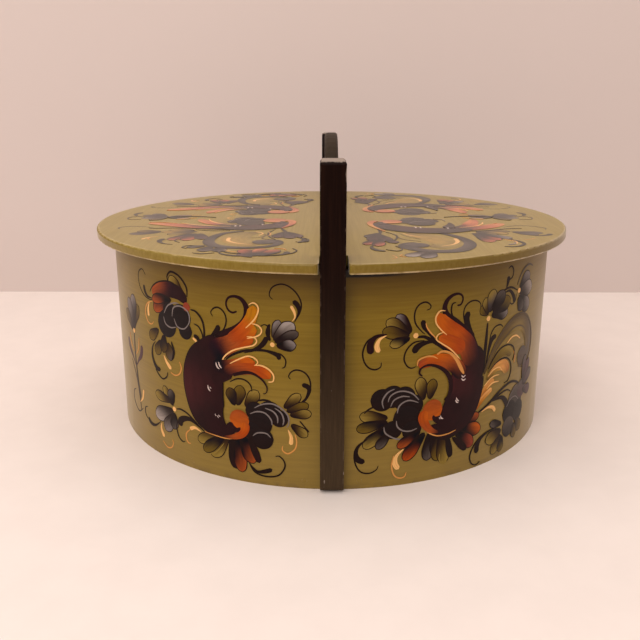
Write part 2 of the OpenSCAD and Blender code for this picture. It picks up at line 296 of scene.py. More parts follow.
def oliveWallFinish(opt):
    # brushed on round the band, then varnished
    b = Board("oliveWallPaint")
    x, y, z = b.split(b.place())[:3]
    arc = x.maths("ARCTAN2", y * -1.0) * bandR
    flat = b.join(arc, 0.0, z)
    brushMarks, fineMarks, cloudMarks = opt["wallMarks"]
    brush = b.noise(b.scaled(flat, brushMarks), 1.0, 4.0, 0.6)
    fine = b.noise(b.scaled(flat, fineMarks), 1.0, 2.0)
    cloud = b.noise(b.scaled(flat, cloudMarks), 1.0, 3.0)
    colour = b.mix(brush.ramp(0.3, 0.75) * 0.5 + cloud * 0.4, linear(*opt["deep"]), linear(*opt["light"]))
    # painted shadow of the lid: darker close under the lid, strongest beside the post and weaker round the
    # sides
    shadowFade = arc.maths("ABSOLUTE").ramp(*opt["shadowFadeArc"])
    under = z.ramp(bandTop - 0.030, bandTop - 0.002)
    colour = b.mix(under * (0.7 - shadowFade * 0.45), colour, linear(*opt["shade"]))
    foot = 1.0 - z.ramp(0.0004, 0.0045)
    rubbed = foot * b.noise(b.scaled(flat, opt["wallRubs"]), 1.0, 4.0).ramp(0.46, 0.62)
    colour = b.mix(rubbed * 0.5, colour, linear(*opt["grimeAndShadow"]))
    # painted shadow: the top edge shows as a dark line where the lid's shadow meets it
    colour = b.mix(z.ramp(bandTop - 0.0014, bandTop - 0.0006) * 0.6, colour, linear(*opt["grimeAndShadow"]))
    # painted shadow: a black line for the gap where the lid stands a little off the band, right of the post
    gapShadow = z.ramp(bandTop - 0.0042, bandTop - 0.0030) * arc.ramp(0.002, 0.004) * (1.0 - arc.ramp(0.024, 0.050))
    colour = b.mix(gapShadow * 0.92, colour, opt["gapShadow"])
    # painted light from the floor: paler and greyer towards the foot
    paintedFloorLight = (1.0 - z.ramp(0.0, 0.085)) * (0.22 + cloud * 0.2)
    colour = b.mix(paintedFloorLight, colour, linear(*opt["dull"]))
    rough = 0.42 + brush * 0.12 + cloud * 0.08
    return b.finish(colour, rough, b.bump(brush * 0.7 + fine * 0.3, opt["markDepth"]), **varnish)


def oliveLidFinish(opt):
    # brushed along the grain, from post to post, with a pale worn line on the lower edge of its rim, painted
    # highlights on its top edge, broken by worn chips, and beside the front notch, and painted shade on the
    # rim's band
    b = Board("oliveLidPaint")
    place = b.place()
    x, y, z = b.split(place)[:3]
    brushMarks, fineMarks = opt["lidMarks"]
    brush = b.noise(b.scaled(place, brushMarks), 1.0, 4.0, 0.6)
    fine = b.noise(b.scaled(place, fineMarks), 1.0, 2.0)
    cloud = b.noise(place, opt["lidClouds"], 3.0)
    # painted light: the lid's olive is a paler copy of the wall's
    litLidPaint = [linear(*opt[key]) for key in ("litLidDeep", "litLidLight")]
    colour = b.mix(brush.ramp(0.3, 0.75) * 0.5 + cloud * 0.45, *litLidPaint)
    reach = (x * x + y * y).maths("SQRT")
    # painted shade: the rim's outer band darker, more on the right
    rim = reach.ramp(lidR - 0.0016, lidR - 0.0003)
    colour = b.mix(rim * (0.25 + x.ramp(-0.10, 0.10) * 0.35), colour, linear(*opt["shade"]))
    chip = b.noise(place, opt["lidChips"], 5.0, 0.65).ramp(0.40, 0.60)
    lowEdge = 1.0 - z.ramp(bandTop + 0.0004, bandTop + 0.0013)
    bare = reach.ramp(lidR - 0.0020, lidR - 0.0009) * lowEdge * (0.35 + chip * 0.65)
    # painted highlight along the rim's top arris, stronger at worn chips
    topEdge = z.ramp(lidTop - 0.0012, lidTop - 0.0005) * reach.ramp(lidR - 0.0020, lidR - 0.0012)
    topEdge = topEdge * (1.0 - reach.ramp(lidR - 0.0009, lidR - 0.0004))
    # painted highlight along the left side of the front notch
    notch = 1.0 - (x + notchSide).maths("ABSOLUTE").ramp(0.0003, 0.0009)
    notch = notch * (1.0 - y.ramp(-lidR + 0.006, -lidR + 0.016))
    colour = b.mix(topEdge * (0.12 + chip * 0.3), colour, linear(*opt["paleWearAndHighlight"]))
    colour = b.mix(notch * 0.6, colour, linear(*opt["paleWearAndHighlight"]))
    colour = b.mix(bare * 0.9, colour, linear(*opt["paleWearAndHighlight"]))
    rough = 0.40 + brush * 0.12 + cloud * 0.08
    return b.finish(colour, rough, b.bump(brush * 0.7 + fine * 0.3, opt["markDepth"]), **varnish)


darkSet = {
    "dark": (13, 3, 2),
    "warm": (34, 16, 8),
    # paler colour painted low on the posts, as light from the floor
    "low": (80, 64, 46),
    "rub": (120, 100, 84),
    "wood": (146, 130, 118),
    "hand": (58, 46, 34),
    "moss": (44, 34, 22),
    "tar": (20, 13, 7),
    # brush marks and clouds, in waves per metre
    "postMarks": (900.0, 900.0, 22.0),
    "handleMarks": (900.0, 22.0, 500.0),
    "clouds": 45.0,
    "markDepth": 0.00005,
    "frontFace": (-0.1530, -0.1510),  # metres, where the front post's outer face ends
    "chipDrop": 0.0065,               # of the chip on its edge, below its top
    "postCoat": {"Specular_IOR_Level": 0.0, "Coat_Weight": 0.4, "Coat_Roughness": 0.36, "Coat_IOR": 1.22},
    "handleCoat": {"Specular_IOR_Level": 0.0, "Coat_Weight": 0.5, "Coat_Roughness": 0.36, "Coat_IOR": 1.22},
}


def postFinish(opt):
    # thin dark paint, brushed upright; paler towards the foot with painted light from the floor, rubbed to pale
    # wood on its top
    b = Board("postPaint")
    place = b.place()
    x, y, z = b.split(place)[:3]
    grain = b.noise(b.scaled(place, opt["postMarks"]), 1.0, 5.0, 0.6)
    cloud = b.noise(place, opt["clouds"], 4.0)
    colour = b.mix(grain.ramp(0.35, 0.75) * 0.6 + cloud * 0.3, linear(*opt["dark"]), linear(*opt["warm"]))
    # painted light from the floor: paler towards the foot
    colour = b.mix((1.0 - z.ramp(0.0, lidTop)) * (0.35 + grain * 0.5), colour, linear(*opt["low"]))
    corner = x.maths("ABSOLUTE").ramp(postHalf - 0.0009, postHalf - 0.0001)
    side = x.maths("ABSOLUTE").ramp(postHalf - 0.0003, postHalf - 0.0001)
    worn = corner * (1.0 - side) * b.noise(place, 200.0, 4.0, 0.6).ramp(0.50, 0.66)
    colour = b.mix(worn * 0.45, colour, linear(*opt["rub"]))
    fleck = b.noise(b.scaled(place, (1.0, 1.0, 0.35)), 420.0, 1.0, 0.4).ramp(0.74, 0.77)
    colour = b.mix(fleck * (1.0 - z.ramp(0.02, 0.12)) * 0.7, colour, linear(*opt["wood"]))
    ragged = b.noise(b.scaled(place, (1.0, 1.0, 0.2)), 600.0, 3.0, 0.6) * 0.0012
    bareTop = (z + ragged).ramp(postTop - 0.0004, postTop + 0.0003)
    colour = b.mix(bareTop * (0.8 + cloud * 0.2), colour, linear(*opt["wood"]))
    chipDrop = (z - postTop + opt["chipDrop"]).maths("ABSOLUTE")
    chipSide = (x - postHalf).maths("ABSOLUTE") * 1.6 + chipDrop * 0.22
    chip = 1.0 - (chipSide + ragged * 0.6).ramp(0.0010, 0.0016)
    front = 1.0 - y.ramp(*opt["frontFace"])
    colour = b.mix(chip * front * 0.85, colour, linear(*opt["wood"]))
    rough = 0.42 + grain * 0.16 + cloud * 0.08
    return b.finish(colour, rough, b.bump(grain, opt["markDepth"]), **opt["postCoat"])


def handleFinish(opt):
    # dark brown-green paint along the bow, dulled and paler where it is held
    b = Board("handlePaint")
    place = b.place()
    x, y, z = b.split(place)[:3]
    grain = b.noise(b.scaled(place, opt["handleMarks"]), 1.0, 5.0, 0.6)
    cloud = b.noise(place, opt["clouds"], 4.0)
    colour = b.mix(grain.ramp(0.35, 0.75) * 0.6 + cloud * 0.4, linear(*opt["tar"]), linear(*opt["moss"]))
    held = z.ramp(lidTop + 0.030, handleTop - 0.002)
    colour = b.mix(held * (0.35 + cloud * 0.5), colour, linear(*opt["hand"]))
    corner = x.maths("ABSOLUTE").ramp(handleHalf - 0.0008, handleHalf)
    side = x.maths("ABSOLUTE").ramp(handleHalf - 0.0003, handleHalf - 0.0001)
    worn = corner * (1.0 - side) * b.noise(place, 180.0, 4.0, 0.6).ramp(0.48, 0.64)
    colour = b.mix(worn * 0.4, colour, linear(*opt["rub"]))
    rough = 0.46 + grain * 0.16 + cloud * 0.08
    return b.finish(colour, rough, b.bump(grain, opt["markDepth"]), **opt["handleCoat"])


birchSet = {
    "pale": (206, 172, 122),
    "brown": (168, 128, 80),
    "dust": (120, 92, 60),
    "across": 260.0,  # waves of grain per metre across the board, and along it
    "along": 7.0,
    "depth": 0.00008,
}


def bareWoodFinish(name, opt, along):
    # planed birch that has darkened with age
    b = Board(name)
    place = b.place()
    stretch = [opt["across"]] * 3
    stretch[along] = opt["along"]
    warped = b.noise(b.scaled(place, tuple(v * 0.2 for v in stretch)), 1.0, 2.0)
    grain = b.noise(b.scaled(place, tuple(stretch)), 1.0, 5.0, 0.62, 0.6)
    pore = b.noise(b.scaled(place, tuple(v * 5 for v in stretch)), 1.0, 2.0).ramp(0.58, 0.75)
    colour = b.mix(grain.ramp(0.3, 0.7), linear(*opt["brown"]), linear(*opt["pale"]))
    colour = b.mix(warped * 0.35, colour, linear(*opt["brown"]))
    colour = b.mix(pore * 0.35, colour, linear(*opt["dust"]))
    return b.finish(colour, 0.55 + grain * 0.2, b.bump(grain - pore * 0.4, opt["depth"]))


rootSet = {
    "skin": (96, 74, 24),
    "pale": (140, 112, 58),
    "groove": (52, 36, 12),
    "fibres": (900.0, 900.0, 90.0),  # per metre
    "depth": 0.00012,
}


def rootFinish(opt):
    # split root, painted over with the band
    b = Board("paintedRoot")
    fibre = b.noise(b.scaled(b.place(), opt["fibres"]), 1.0, 4.0)
    colour = b.mix(fibre.ramp(0.35, 0.7), linear(*opt["skin"]), linear(*opt["pale"]))
    colour = b.mix((1.0 - fibre).ramp(0.55, 0.8) * 0.6, colour, linear(*opt["groove"]))
    return b.finish(colour, 0.45 + fibre * 0.2, b.bump(fibre, opt["depth"]))


def dress(name, material):
    mesh = nodes[name].data
    mesh.materials.clear()
    mesh.materials.append(material)


oliveWall = oliveWallFinish(oliveSet)
oliveLid = oliveLidFinish(oliveSet)
postPaint = postFinish(darkSet)
handlePaint = handleFinish(darkSet)
birchBoard = bareWoodFinish("birchBoard", birchSet, 1)
birchPeg = bareWoodFinish("birchPeg", birchSet, 2)
paintedRoot = rootFinish(rootSet)

for name, material in [
    ("side_band", oliveWall), ("bottom_pegs", oliveWall), ("lid_board", oliveLid),
    ("post_front", postPaint), ("post_rear", postPaint), ("handle", handlePaint),
    ("handle_pegs", handlePaint), ("bottom_board", birchBoard),
    ("post_front_dowels", birchPeg), ("post_rear_dowels", birchPeg),
    ("seam_root_outer", paintedRoot), ("seam_root_inner", paintedRoot),
]:
    dress(name, material)
print("finishes made")

paintSet = {
    "wallStep": 0.0007,  # metres between sections along a stroke
    "lidStep": 0.0011,
    "sides": 10,         # of the section that every stroke is flattened from
    "lift": 0.035,       # mm that paint stands over the ground coat
    "layer": 0.004,      # mm more for each stroke that it covers
    "broad": 0.00006,    # mm more for each mm of width, squared
    "sink": 0.05,        # mm that a stroke's underside lies below the surface
    "outline": 0.7,      # mm of dark line round a petal
    "wallShift": (-0.3, -0.4),  # mm, of all strokes on the wall
    "farAt": 120,        # mm round from the post, where strokes are shifted by farShift more
    "farShift": -0.8,
    "lidShift": (-0.8, -2.0),
    "farFold": (12.0, 0.92),    # the far half mirrors the near one, drawn in a little
    "rimReach": 149.0,   # mm from the lid's middle, where the painting ends
    "sharpDeg": 40,      # flat edges, so that the paint does not look embossed
    "streaks": (90.0, 2.6, 7.3),  # per metre along a stroke, per half width across it, per stroke
    "grit": 900.0,
    "streakShade": (0.62, 0.60, 0.58, 1.0),
    "streakDepth": 0.00004,
}

paintColours = {
    "ink": (26, 8, 6),
    "wine": (34, 5, 9),
    "wineLit": (58, 16, 19),
    "navy": (24, 13, 14),
    "slate": (80, 68, 62),
    "bark": (80, 62, 42),
    "grey": (122, 110, 106),
    "pearl": (158, 144, 136),
    "plum": (74, 44, 50),
    "rust": (148, 66, 20),
    "brick": (138, 56, 34),
    "orange": (160, 62, 4),
    "flame": (178, 82, 6),
    "coral": (168, 84, 54),
    "salmon": (190, 104, 64),
    "apricot": (202, 126, 74),
    "gold": (172, 106, 4),
    "gilt": (160, 122, 44),
    "sand": (206, 140, 72),
    "cream": (232, 176, 108),
    "white": (206, 184, 176),
    "moss": (74, 52, 14),
    "leaf": (104, 80, 18),
    "leafLit": (140, 114, 48),
}

strokes = []  # of the panel being painted: points in mm, full widths, colours at the two edges


def pairs(numbers):
    return [tuple(numbers[i:i + 2]) for i in range(0, len(numbers), 2)]


def shades(names, count):
    # one colour for the whole stroke, or one for each of its points
    names = names.split()
    return names * count if len(names) == 1 else names


def lay(points, widths, left, right=None):
    left, right = [shades(names, len(points)) for names in (left, right or left)]
    strokes.append((points, widths, left, right))


def along(points):
    # how far each point lies along the stroke, from 0 to 1
    steps = [0.0]
    for (a, b), (c, d) in zip(points, points[1:]):
        steps.append(steps[-1] + math.hypot(c - a, d - b))
    return [s / steps[-1] for s in steps]


def line(colour, width, *numbers):
    # one width all along, but half of it at both ends
    points = pairs(numbers)
    lay(points, [width * min(1.0, 0.5 + 2.5 * min(t, 1 - t)) for t in along(points)], colour)


def press(t, head=0.15):
    # the brush is pressed down at the head of a comma and lifted along its tail
    return 0.8 + 1.3 * t if t < head else 1.0 - 0.88 * ((t - head) / 0.85) ** 0.85


def comma(colour, width, *numbers):
    points = pairs(numbers)
    lay(points, [width * press(t) for t in along(points)], colour)


def petal(colours, width, x0, y0, x1, y1, bend=0.0):
    # from root to tip: a dark line round a deep root that lightens to the tip, with one side in shade
    dx, dy = x1 - x0, y1 - y0
    points = []
    for t in (0, 0.35, 0.7, 1):
        points.append((x0 + dx * t - dy * bend * t * (1 - t) * 2, y0 + dy * t + dx * bend * t * (1 - t) * 2))
    shape = [0.22, 0.72, 1.0, 0.55]
    edge = paintSet["outline"]
    reach = math.hypot(dx, dy)
    tip = (x1 + dx / reach * edge * 0.6, y1 + dy / reach * edge * 0.6)
    lay(points[:3] + [tip], [width * s + edge * 1.6 for s in shape], "ink")
    deep, lit = colours.split()
    lay(points, [width * s for s in shape], f"ink {deep} {lit} {lit}", f"ink ink {deep} {lit}")


def ball(colour, x, y, radius, other=None):
    # a round dab, laid as a stroke that is as long as it is wide
    lay([(x - radius, y), (x, y), (x + radius, y)], [radius * 2] * 3, colour, other)


def mass(left, right, *numbers):
    # a broad stroke, given as x, y and width at each point, with the colours of its two edges
    points = [tuple(numbers[i:i + 2]) for i in range(0, len(numbers), 3)]
    lay(points, list(numbers[2::3]), left, right)


def lobe(x, y, radius):
    # a dark ball, half of it in shade, with a line round it
    ball("ink", x, y, radius + 0.5)
    ball("navy", x, y, radius, "ink")


def lines(colour, width, *each):
    for numbers in each:
        line(colour, width, *numbers)


def petals(*each):
    for settings in each:
        petal(*settings)


def balls(*each):
    for settings in each:
        ball(*settings)


def lobes(*each):
    for settings in each:
        lobe(*settings)


# the lines and commas that recur
ink, cream, sand, grey = [partial(line, colour) for colour in ("ink", "cream", "sand", "grey")]
inkComma, creamComma = [partial(comma, colour) for colour in ("ink", "cream")]

# colours of the petals, at the root and at the tip
ash = "slate pearl"
dusk = "navy slate"
night = "navy grey"
olive = "moss leafLit"
dull = "moss leaf"
red = "wine rust"
rose = "wine coral"
mauve = "wine plum"


def paintLeftWall():
    # upper left flower
    ink(0.8, -119.6, 111.3, -122.7, 114.2, -126.2, 113.2, -128.3, 110.2, -128.1, 105.5, -125.4, 101,
        -120.8, 98.2, -115.4, 97.5, -111.5, 98.6)
    inkComma(3, -122.3, 105.2, -121.2, 101.3, -118.5, 99, -113, 98.6)
    sand(0.8, -113.5, 97, -118.5, 95.2, -121.5, 91.7, -122, 87, -119.6, 83.2, -115.8, 82.8, -113.8, 84.8)
    creamComma(2.8, -118.6, 87, -118.8, 91.7, -117, 96)
    petal(olive, 8, -83.8, 103.2, -96, 114.5, 0.2)
    ink(1.2, -83.5, 104, -83.5, 109, -86, 113, -90, 116, -95.4, 117, -98.5, 114, -97.7, 111)
    mass("wine wine wine wineLit rust", "wine wine wineLit rust rust", -84, 101, 4, -90, 105.5, 8,
         -98, 106.5, 9, -106, 105, 8.5, -113.5, 102, 5)
    ink(0.9, -86, 106, -95, 111, -105, 110, -112, 106.5, -116, 102)
    petals((red, 7.5, -97, 99.6, -112.3, 92, -0.15), (red, 5.5, -96, 100.6, -113.5, 98, -0.1))
    balls(("navy", -101, 86, 8), ("navy", -97.5, 92.5, 6.5), ("navy", -89, 92, 7.5), ("navy", -86, 84.5, 5),
          ("brick", -84.2, 98.6, 2.6))
    grey(0.8, -103, 91.7, -99.2, 97, -93.8, 99.4, -90, 99.5)
    grey(0.8, -103.5, 90, -102, 86, -97.7, 84.4, -93, 85.5)
    grey(0.8, -96, 91, -94.5, 96.5, -89, 98.3, -83.5, 96, -82.4, 91, -85, 86.5)
    grey(0.8, -94.5, 90.5, -92, 86, -87, 85.5, -84, 88)
    ink(1.3, -81.5, 97.5, -77.7, 97, -73.8, 93.2, -72.4, 87.8, -72.7, 82.5, -74, 77.5)
    ink(0.9, -79.6, 89.8, -76.2, 88.6, -73.8, 84.5, -73.6, 79)
    inkComma(2.6, -80, 83, -77.2, 82, -76.2, 79.2, -77, 75.5, -79, 72)
    creamComma(1.6, -80.8, 81.5, -78.2, 79.6, -77.7, 76.5, -79.6, 72.6)
    petals((dull, 6, -109.2, 81, -118.8, 74), (dull, 6, -107, 74.8, -112.7, 65.5),
           ("moss slate", 7, -100.8, 74.8, -99.2, 64.4), ("navy moss", 6, -104, 79, -105.5, 68))
    ink(2, -98, 76, -96.2, 70.2, -98, 64.8)
    inkComma(3, -109.6, 56.3, -112.7, 56.3, -115.8, 59.4, -117.3, 64, -116.2, 69.4, -113, 72.8)
    ink(0.9, -114.6, 55.5, -111.5, 52.5, -107.7, 51, -103.8, 53.2, -102.7, 56.3)
    creamComma(3.4, -99.2, 59, -103, 62.5, -105.4, 66.3)
    sand(0.8, -100, 57, -96.2, 56, -92.3, 57.8, -90.6, 61.7, -92, 65.2)
    # lower left flower
    ink(1.2, -97, 34.8, -93, 35.7, -87.7, 34.4, -82.3, 31, -76, 26.3)
    petals((olive, 5, -99.2, 36.3, -107.7, 46.3), (dusk, 6, -99.5, 37, -101.5, 46),
           (olive, 6, -100.8, 38.6, -116.2, 39.8), (ash, 9, -99.2, 33.2, -117.3, 25.5),
           ("slate grey", 8, -99.2, 31, -107.7, 18.6), (dusk, 6.5, -98.5, 32, -99.6, 21.5))
    ball("cream", -98.5, 34.4, 1.5)
    inkComma(3, -127.3, 20.5, -123.8, 17.8, -118.5, 18.2, -112.3, 22.5)
    ink(0.8, -128, 19, -131, 22, -130.5, 26, -127, 27.5)
    creamComma(3.4, -109.6, 13.2, -112.3, 17.8, -111.5, 22)
    sand(0.8, -111.5, 10.2, -107, 7.5, -103, 8.6, -101.2, 11.7, -102, 14)
    inkComma(4.4, -92.7, 25.2, -93.8, 28, -90.8, 30.5, -85.4, 31.3, -79.2, 28.6, -75, 26)
    ink(0.9, -96.2, 27.8, -97.3, 23.2, -95.8, 17.8, -92.7, 15.5, -90.4, 16.3)
    creamComma(3, -86.2, 25.2, -82.3, 27, -77.7, 25.5)
    sand(0.9, -85, 25.8, -89.2, 21.7, -89.2, 17.8, -87.7, 16, -85.8, 16.3)
    # flowers on the right of the big leaf
    ink(0.8, -30.8, 108.2, -32.8, 110.2, -32.3, 113.2, -30.4, 115.5, -26.5, 116.8, -22.7, 115.9, -19.2, 113.2,
        -16.9, 109.8, -15.9, 106.3, -16.5, 102.5, -18.5, 98.6, -19.8, 96.3)
    inkComma(3.2, -20.5, 108, -18, 106, -17.2, 102, -19.5, 97)
    creamComma(2, -21.5, 105.5, -19.8, 102.5, -19.3, 99.4, -21, 96.8)
    petals(("slate grey", 4.5, -31.2, 87, -28, 97.2), (ash, 8, -31, 86, -20, 95.8),
           (dusk, 5, -30.5, 85, -17.8, 91), (night, 6, -29.6, 83.2, -19, 84))
    ink(2.4, -33, 95, -34.2, 90, -32.8, 85.5)
    ink(1.4, -59.2, 72.1, -55, 75.5, -48, 78.6, -40.4, 79.8, -35, 79.8, -29, 78)
    inkComma(2.7, -28.5, 75.3, -28.8, 77.8, -35, 79.8, -42, 79.6)
    ink(0.8, -31, 79, -27.3, 78.6, -24.6, 75.5, -25, 71.7, -26.9, 70.7)
    inkComma(3, -34.8, 87.8, -36.2, 84.8, -39.6, 81.7, -44.2, 79.4)
    ink(0.8, -38.5, 92.8, -35.8, 94.4, -33.1, 92.5, -33.5, 87.8, -36.5, 82.5, -41.9, 79.4, -48, 77.5)
    ball("cream", -31.7, 83.6, 1.3)
    ink(0.9, -18, 50.2, -13.5, 54.8, -11.3, 60.2, -11.9, 65.5, -14.6, 69, -18.5, 70.2, -21.5, 69, -23.1, 66.3,
        -21.8, 64.6)
    inkComma(3, -16, 62, -13, 61, -12, 58.6, -14.2, 53.2, -18, 50)
    petals((olive, 5, -25.8, 47.8, -17, 56.3), (dull, 5, -24.5, 46, -12.5, 50.5),
           (olive, 5, -22.7, 44, -11, 45.5), (olive, 5, -22, 38.6, -13.2, 32))
    ink(1.6, -17.3, 41, -12, 34.4)
    creamComma(3.2, -22.3, 26.3, -22, 31, -23.8, 35.5)
    sand(0.8, -20, 33.2, -19, 28.6, -20, 24, -23.9, 21, -27, 22.8, -26.7, 25.7)
    # petals at its foot
    petals((olive, 8.5, -59, 27, -70.4, 12.5), (olive, 6.5, -63, 27.5, -80, 20),
           ("navy leaf", 6.5, -61, 27, -76, 14.5))
    line("leafLit", 0.6, -62, 22, -68, 15, -74, 13)
    petals(("ink wine", 6.5, -57, 29, -54.8, 8), (red, 7.5, -54, 29.5, -51, 6.5),
           (red, 8.5, -51, 30, -43.8, 13), ("ink wine", 3.4, -47, 31, -40.4, 14))
    ink(0.9, -47, 14, -46.2, 12, -43.5, 7.8, -38.8, 6, -33.5, 6, -28.8, 7.8, -25.8, 12.5, -26.2, 16.3,
        -28.8, 19, -31.2, 18.6)
    inkComma(3, -33, 10.5, -36.5, 9, -41.9, 8.2, -46.5, 12.5)
    # the dark cluster and olive petals inside the leaf
    petals((dull, 6.5, -52.7, 46.3, -50.4, 58.2), (olive, 6.5, -48, 46.3, -40.5, 56.3),
           ("navy moss", 6, -54.5, 46, -57.5, 56))
    ink(0.9, -57.3, 59.4, -52.7, 62, -48, 62, -44.6, 59.4, -43.8, 55.5)
    lobes((-34, 44.5, 6.2), (-28.5, 41.5, 4.6), (-42.5, 44.5, 5), (-39.5, 37.5, 6.6), (-44.5, 33, 5),
          (-38.2, 28.6, 5.8))
    ink(1.2, -41, 50.6, -37, 51.6, -33, 51.2)
    grey(0.8, -45.4, 42.5, -41.2, 44.4, -36.5, 44, -33.1, 40.5, -32.6, 37)
    grey(0.8, -42.7, 46.3, -38, 49, -32, 49.8, -26.5, 47, -23.5, 43.2, -23.3, 38.6, -24.6, 36.7)
    grey(0.8, -36.5, 47, -32, 45.5, -29.6, 42.5, -29.4, 38.5)
    grey(0.8, -31, 47.6, -27.4, 45, -26, 41, -26.6, 37.6)
    grey(0.8, -44, 29.5, -41, 31.8, -36, 32, -33.4, 29.6)
    # the big leaf itself, with its flames
    mass("wine", None, -66, 83, 5, -60, 86.5, 4.8, -53, 90, 4.4, -48, 94, 4.2, -45.8, 98.5, 3.8, -46, 103.5, 3,
         -48.5, 107.2, 2.2, -52.5, 108.5, 1.6, -56.2, 107.3, 1.2, -57.7, 104, 1.1, -56.6, 100.8, 1.1,
         -54, 99.4, 1.1, -51.2, 100.4, 1.0)
    ink(0.9, -66, 84, -62, 86.8, -59.2, 90.2, -57.9, 94.8, -59.2, 99, -62.3, 101.2, -65.4, 100.6, -67.5, 98,
        -66.2, 95.8)
    inkComma(3.2, -63, 91.5, -63.6, 89, -66, 86, -70.5, 81, -74.5, 77)
    mass("ink", None, -63.5, 85, 9, -68, 77, 17.4, -73, 68, 25.4, -75, 58, 28.4, -74.5, 48, 27.4, -72, 39, 24.4,
         -67, 32.5, 16.4, -61, 29, 9, -57, 30, 5)
    mass("wine", "wine wine wine wineLit wineLit wine wine wine wine", -63, 84, 8, -68, 77, 16, -73, 68, 24,
         -75, 58, 27, -74.5, 48, 26, -72, 39, 23, -67, 32.5, 15, -60, 29, 8, -55, 30.5, 4)
    mass("wine wineLit rust orange flame flame", "wine wine rust orange orange orange",
         -69, 74, 12, -62, 78.5, 12, -56, 81.4, 9.5, -50.5, 83.6, 8, -45.5, 85, 6.5, -42, 85.2, 4.5)
    mass("wineLit rust orange gold gold", "wine rust orange flame flame",
         -62, 80, 8, -55, 83.5, 8, -49, 88, 8, -43, 90.5, 7.4, -40, 91, 5)
    mass("rust orange flame gold gold gold", "rust orange flame gold gold gold",
         -57, 84.5, 5, -51.5, 87.5, 7, -46, 93, 7, -43, 98, 6.5, -42, 102, 6, -42, 104.3, 3.6)
    cream(0.8, -44.5, 104.5, -42, 105.9, -39.8, 105, -38.9, 102.5, -40, 99, -42, 96, -46.5, 91.5)
    cream(0.8, -43, 94.4, -40, 94, -37.6, 92, -37.9, 89.3, -41, 87.3, -46, 86)
    cream(0.8, -46, 87, -42, 86.9, -40.2, 85, -42.2, 82.4, -48, 80.6, -54, 78.4, -58.5, 75.2, -60.8, 72,
          -59.5, 69.8, -56, 69)
    mass("wine wine rust flame flame flame", "wine wine wineLit orange orange orange",
         -68, 66, 12, -60, 67.4, 9.5, -53.5, 69.4, 8, -48, 71.2, 8, -44, 72, 7, -41.6, 73, 4.6)
    mass("wine rust orange orange flame flame", "wine wineLit rust orange orange orange",
         -60, 65.5, 6, -53, 67.6, 7, -45, 68.8, 6.5, -39, 68.2, 6.5, -35, 66.2, 5.5, -33.4, 64.2, 3.4)
    cream(0.8, -56.5, 70.4, -51, 73.6, -46, 75.9, -42, 75.4, -39.9, 73, -42, 70.8)
    cream(0.8, -42, 71.2, -38, 71.4, -34, 69.7, -31.3, 66.5, -31.6, 63, -34.5, 62.4)
    comma("wine", 2.4, -55, 64, -48, 66.4, -43, 66.4, -38.5, 64, -35.6, 60.5, -35, 57.5, -36, 55.6, -37.5, 55.3)
    mass("wine", None, -68, 60, 10, -61, 61.5, 5, -55.5, 63, 2)
    sand(0.6, -75, 26.5, -66, 25.6, -60, 25.4, -55, 26.5, -50.5, 30)
    ball("rust", -51.8, 38.2, 5.9, "flame")
    mass("rust orange orange rust wine", "flame flame orange rust wine",
         -48.2, 37.4, 4, -48.2, 33.6, 5, -50.6, 29.8, 4.8, -55.6, 27.2, 3, -62, 26.2, 1)
    mass("wine", None, -59.5, 34.6, 7.5, -56, 32.2, 4.5, -53, 31.8, 2.6, -51.2, 33.6, 1.2)
    lines("white", 0.8, (-65.2, 70, -64.6, 67.6, -63, 66.2), (-63.5, 70.5, -62.8, 68.2, -61.5, 67),
          (-71.3, 55.6, -70.8, 53.4, -69.6, 52), (-70, 54.6, -69, 53.8), (-66, 38.2, -64.8, 37),
          (-65, 38.8, -63.8, 37.8), (-67.2, 39, -66.6, 37.8))


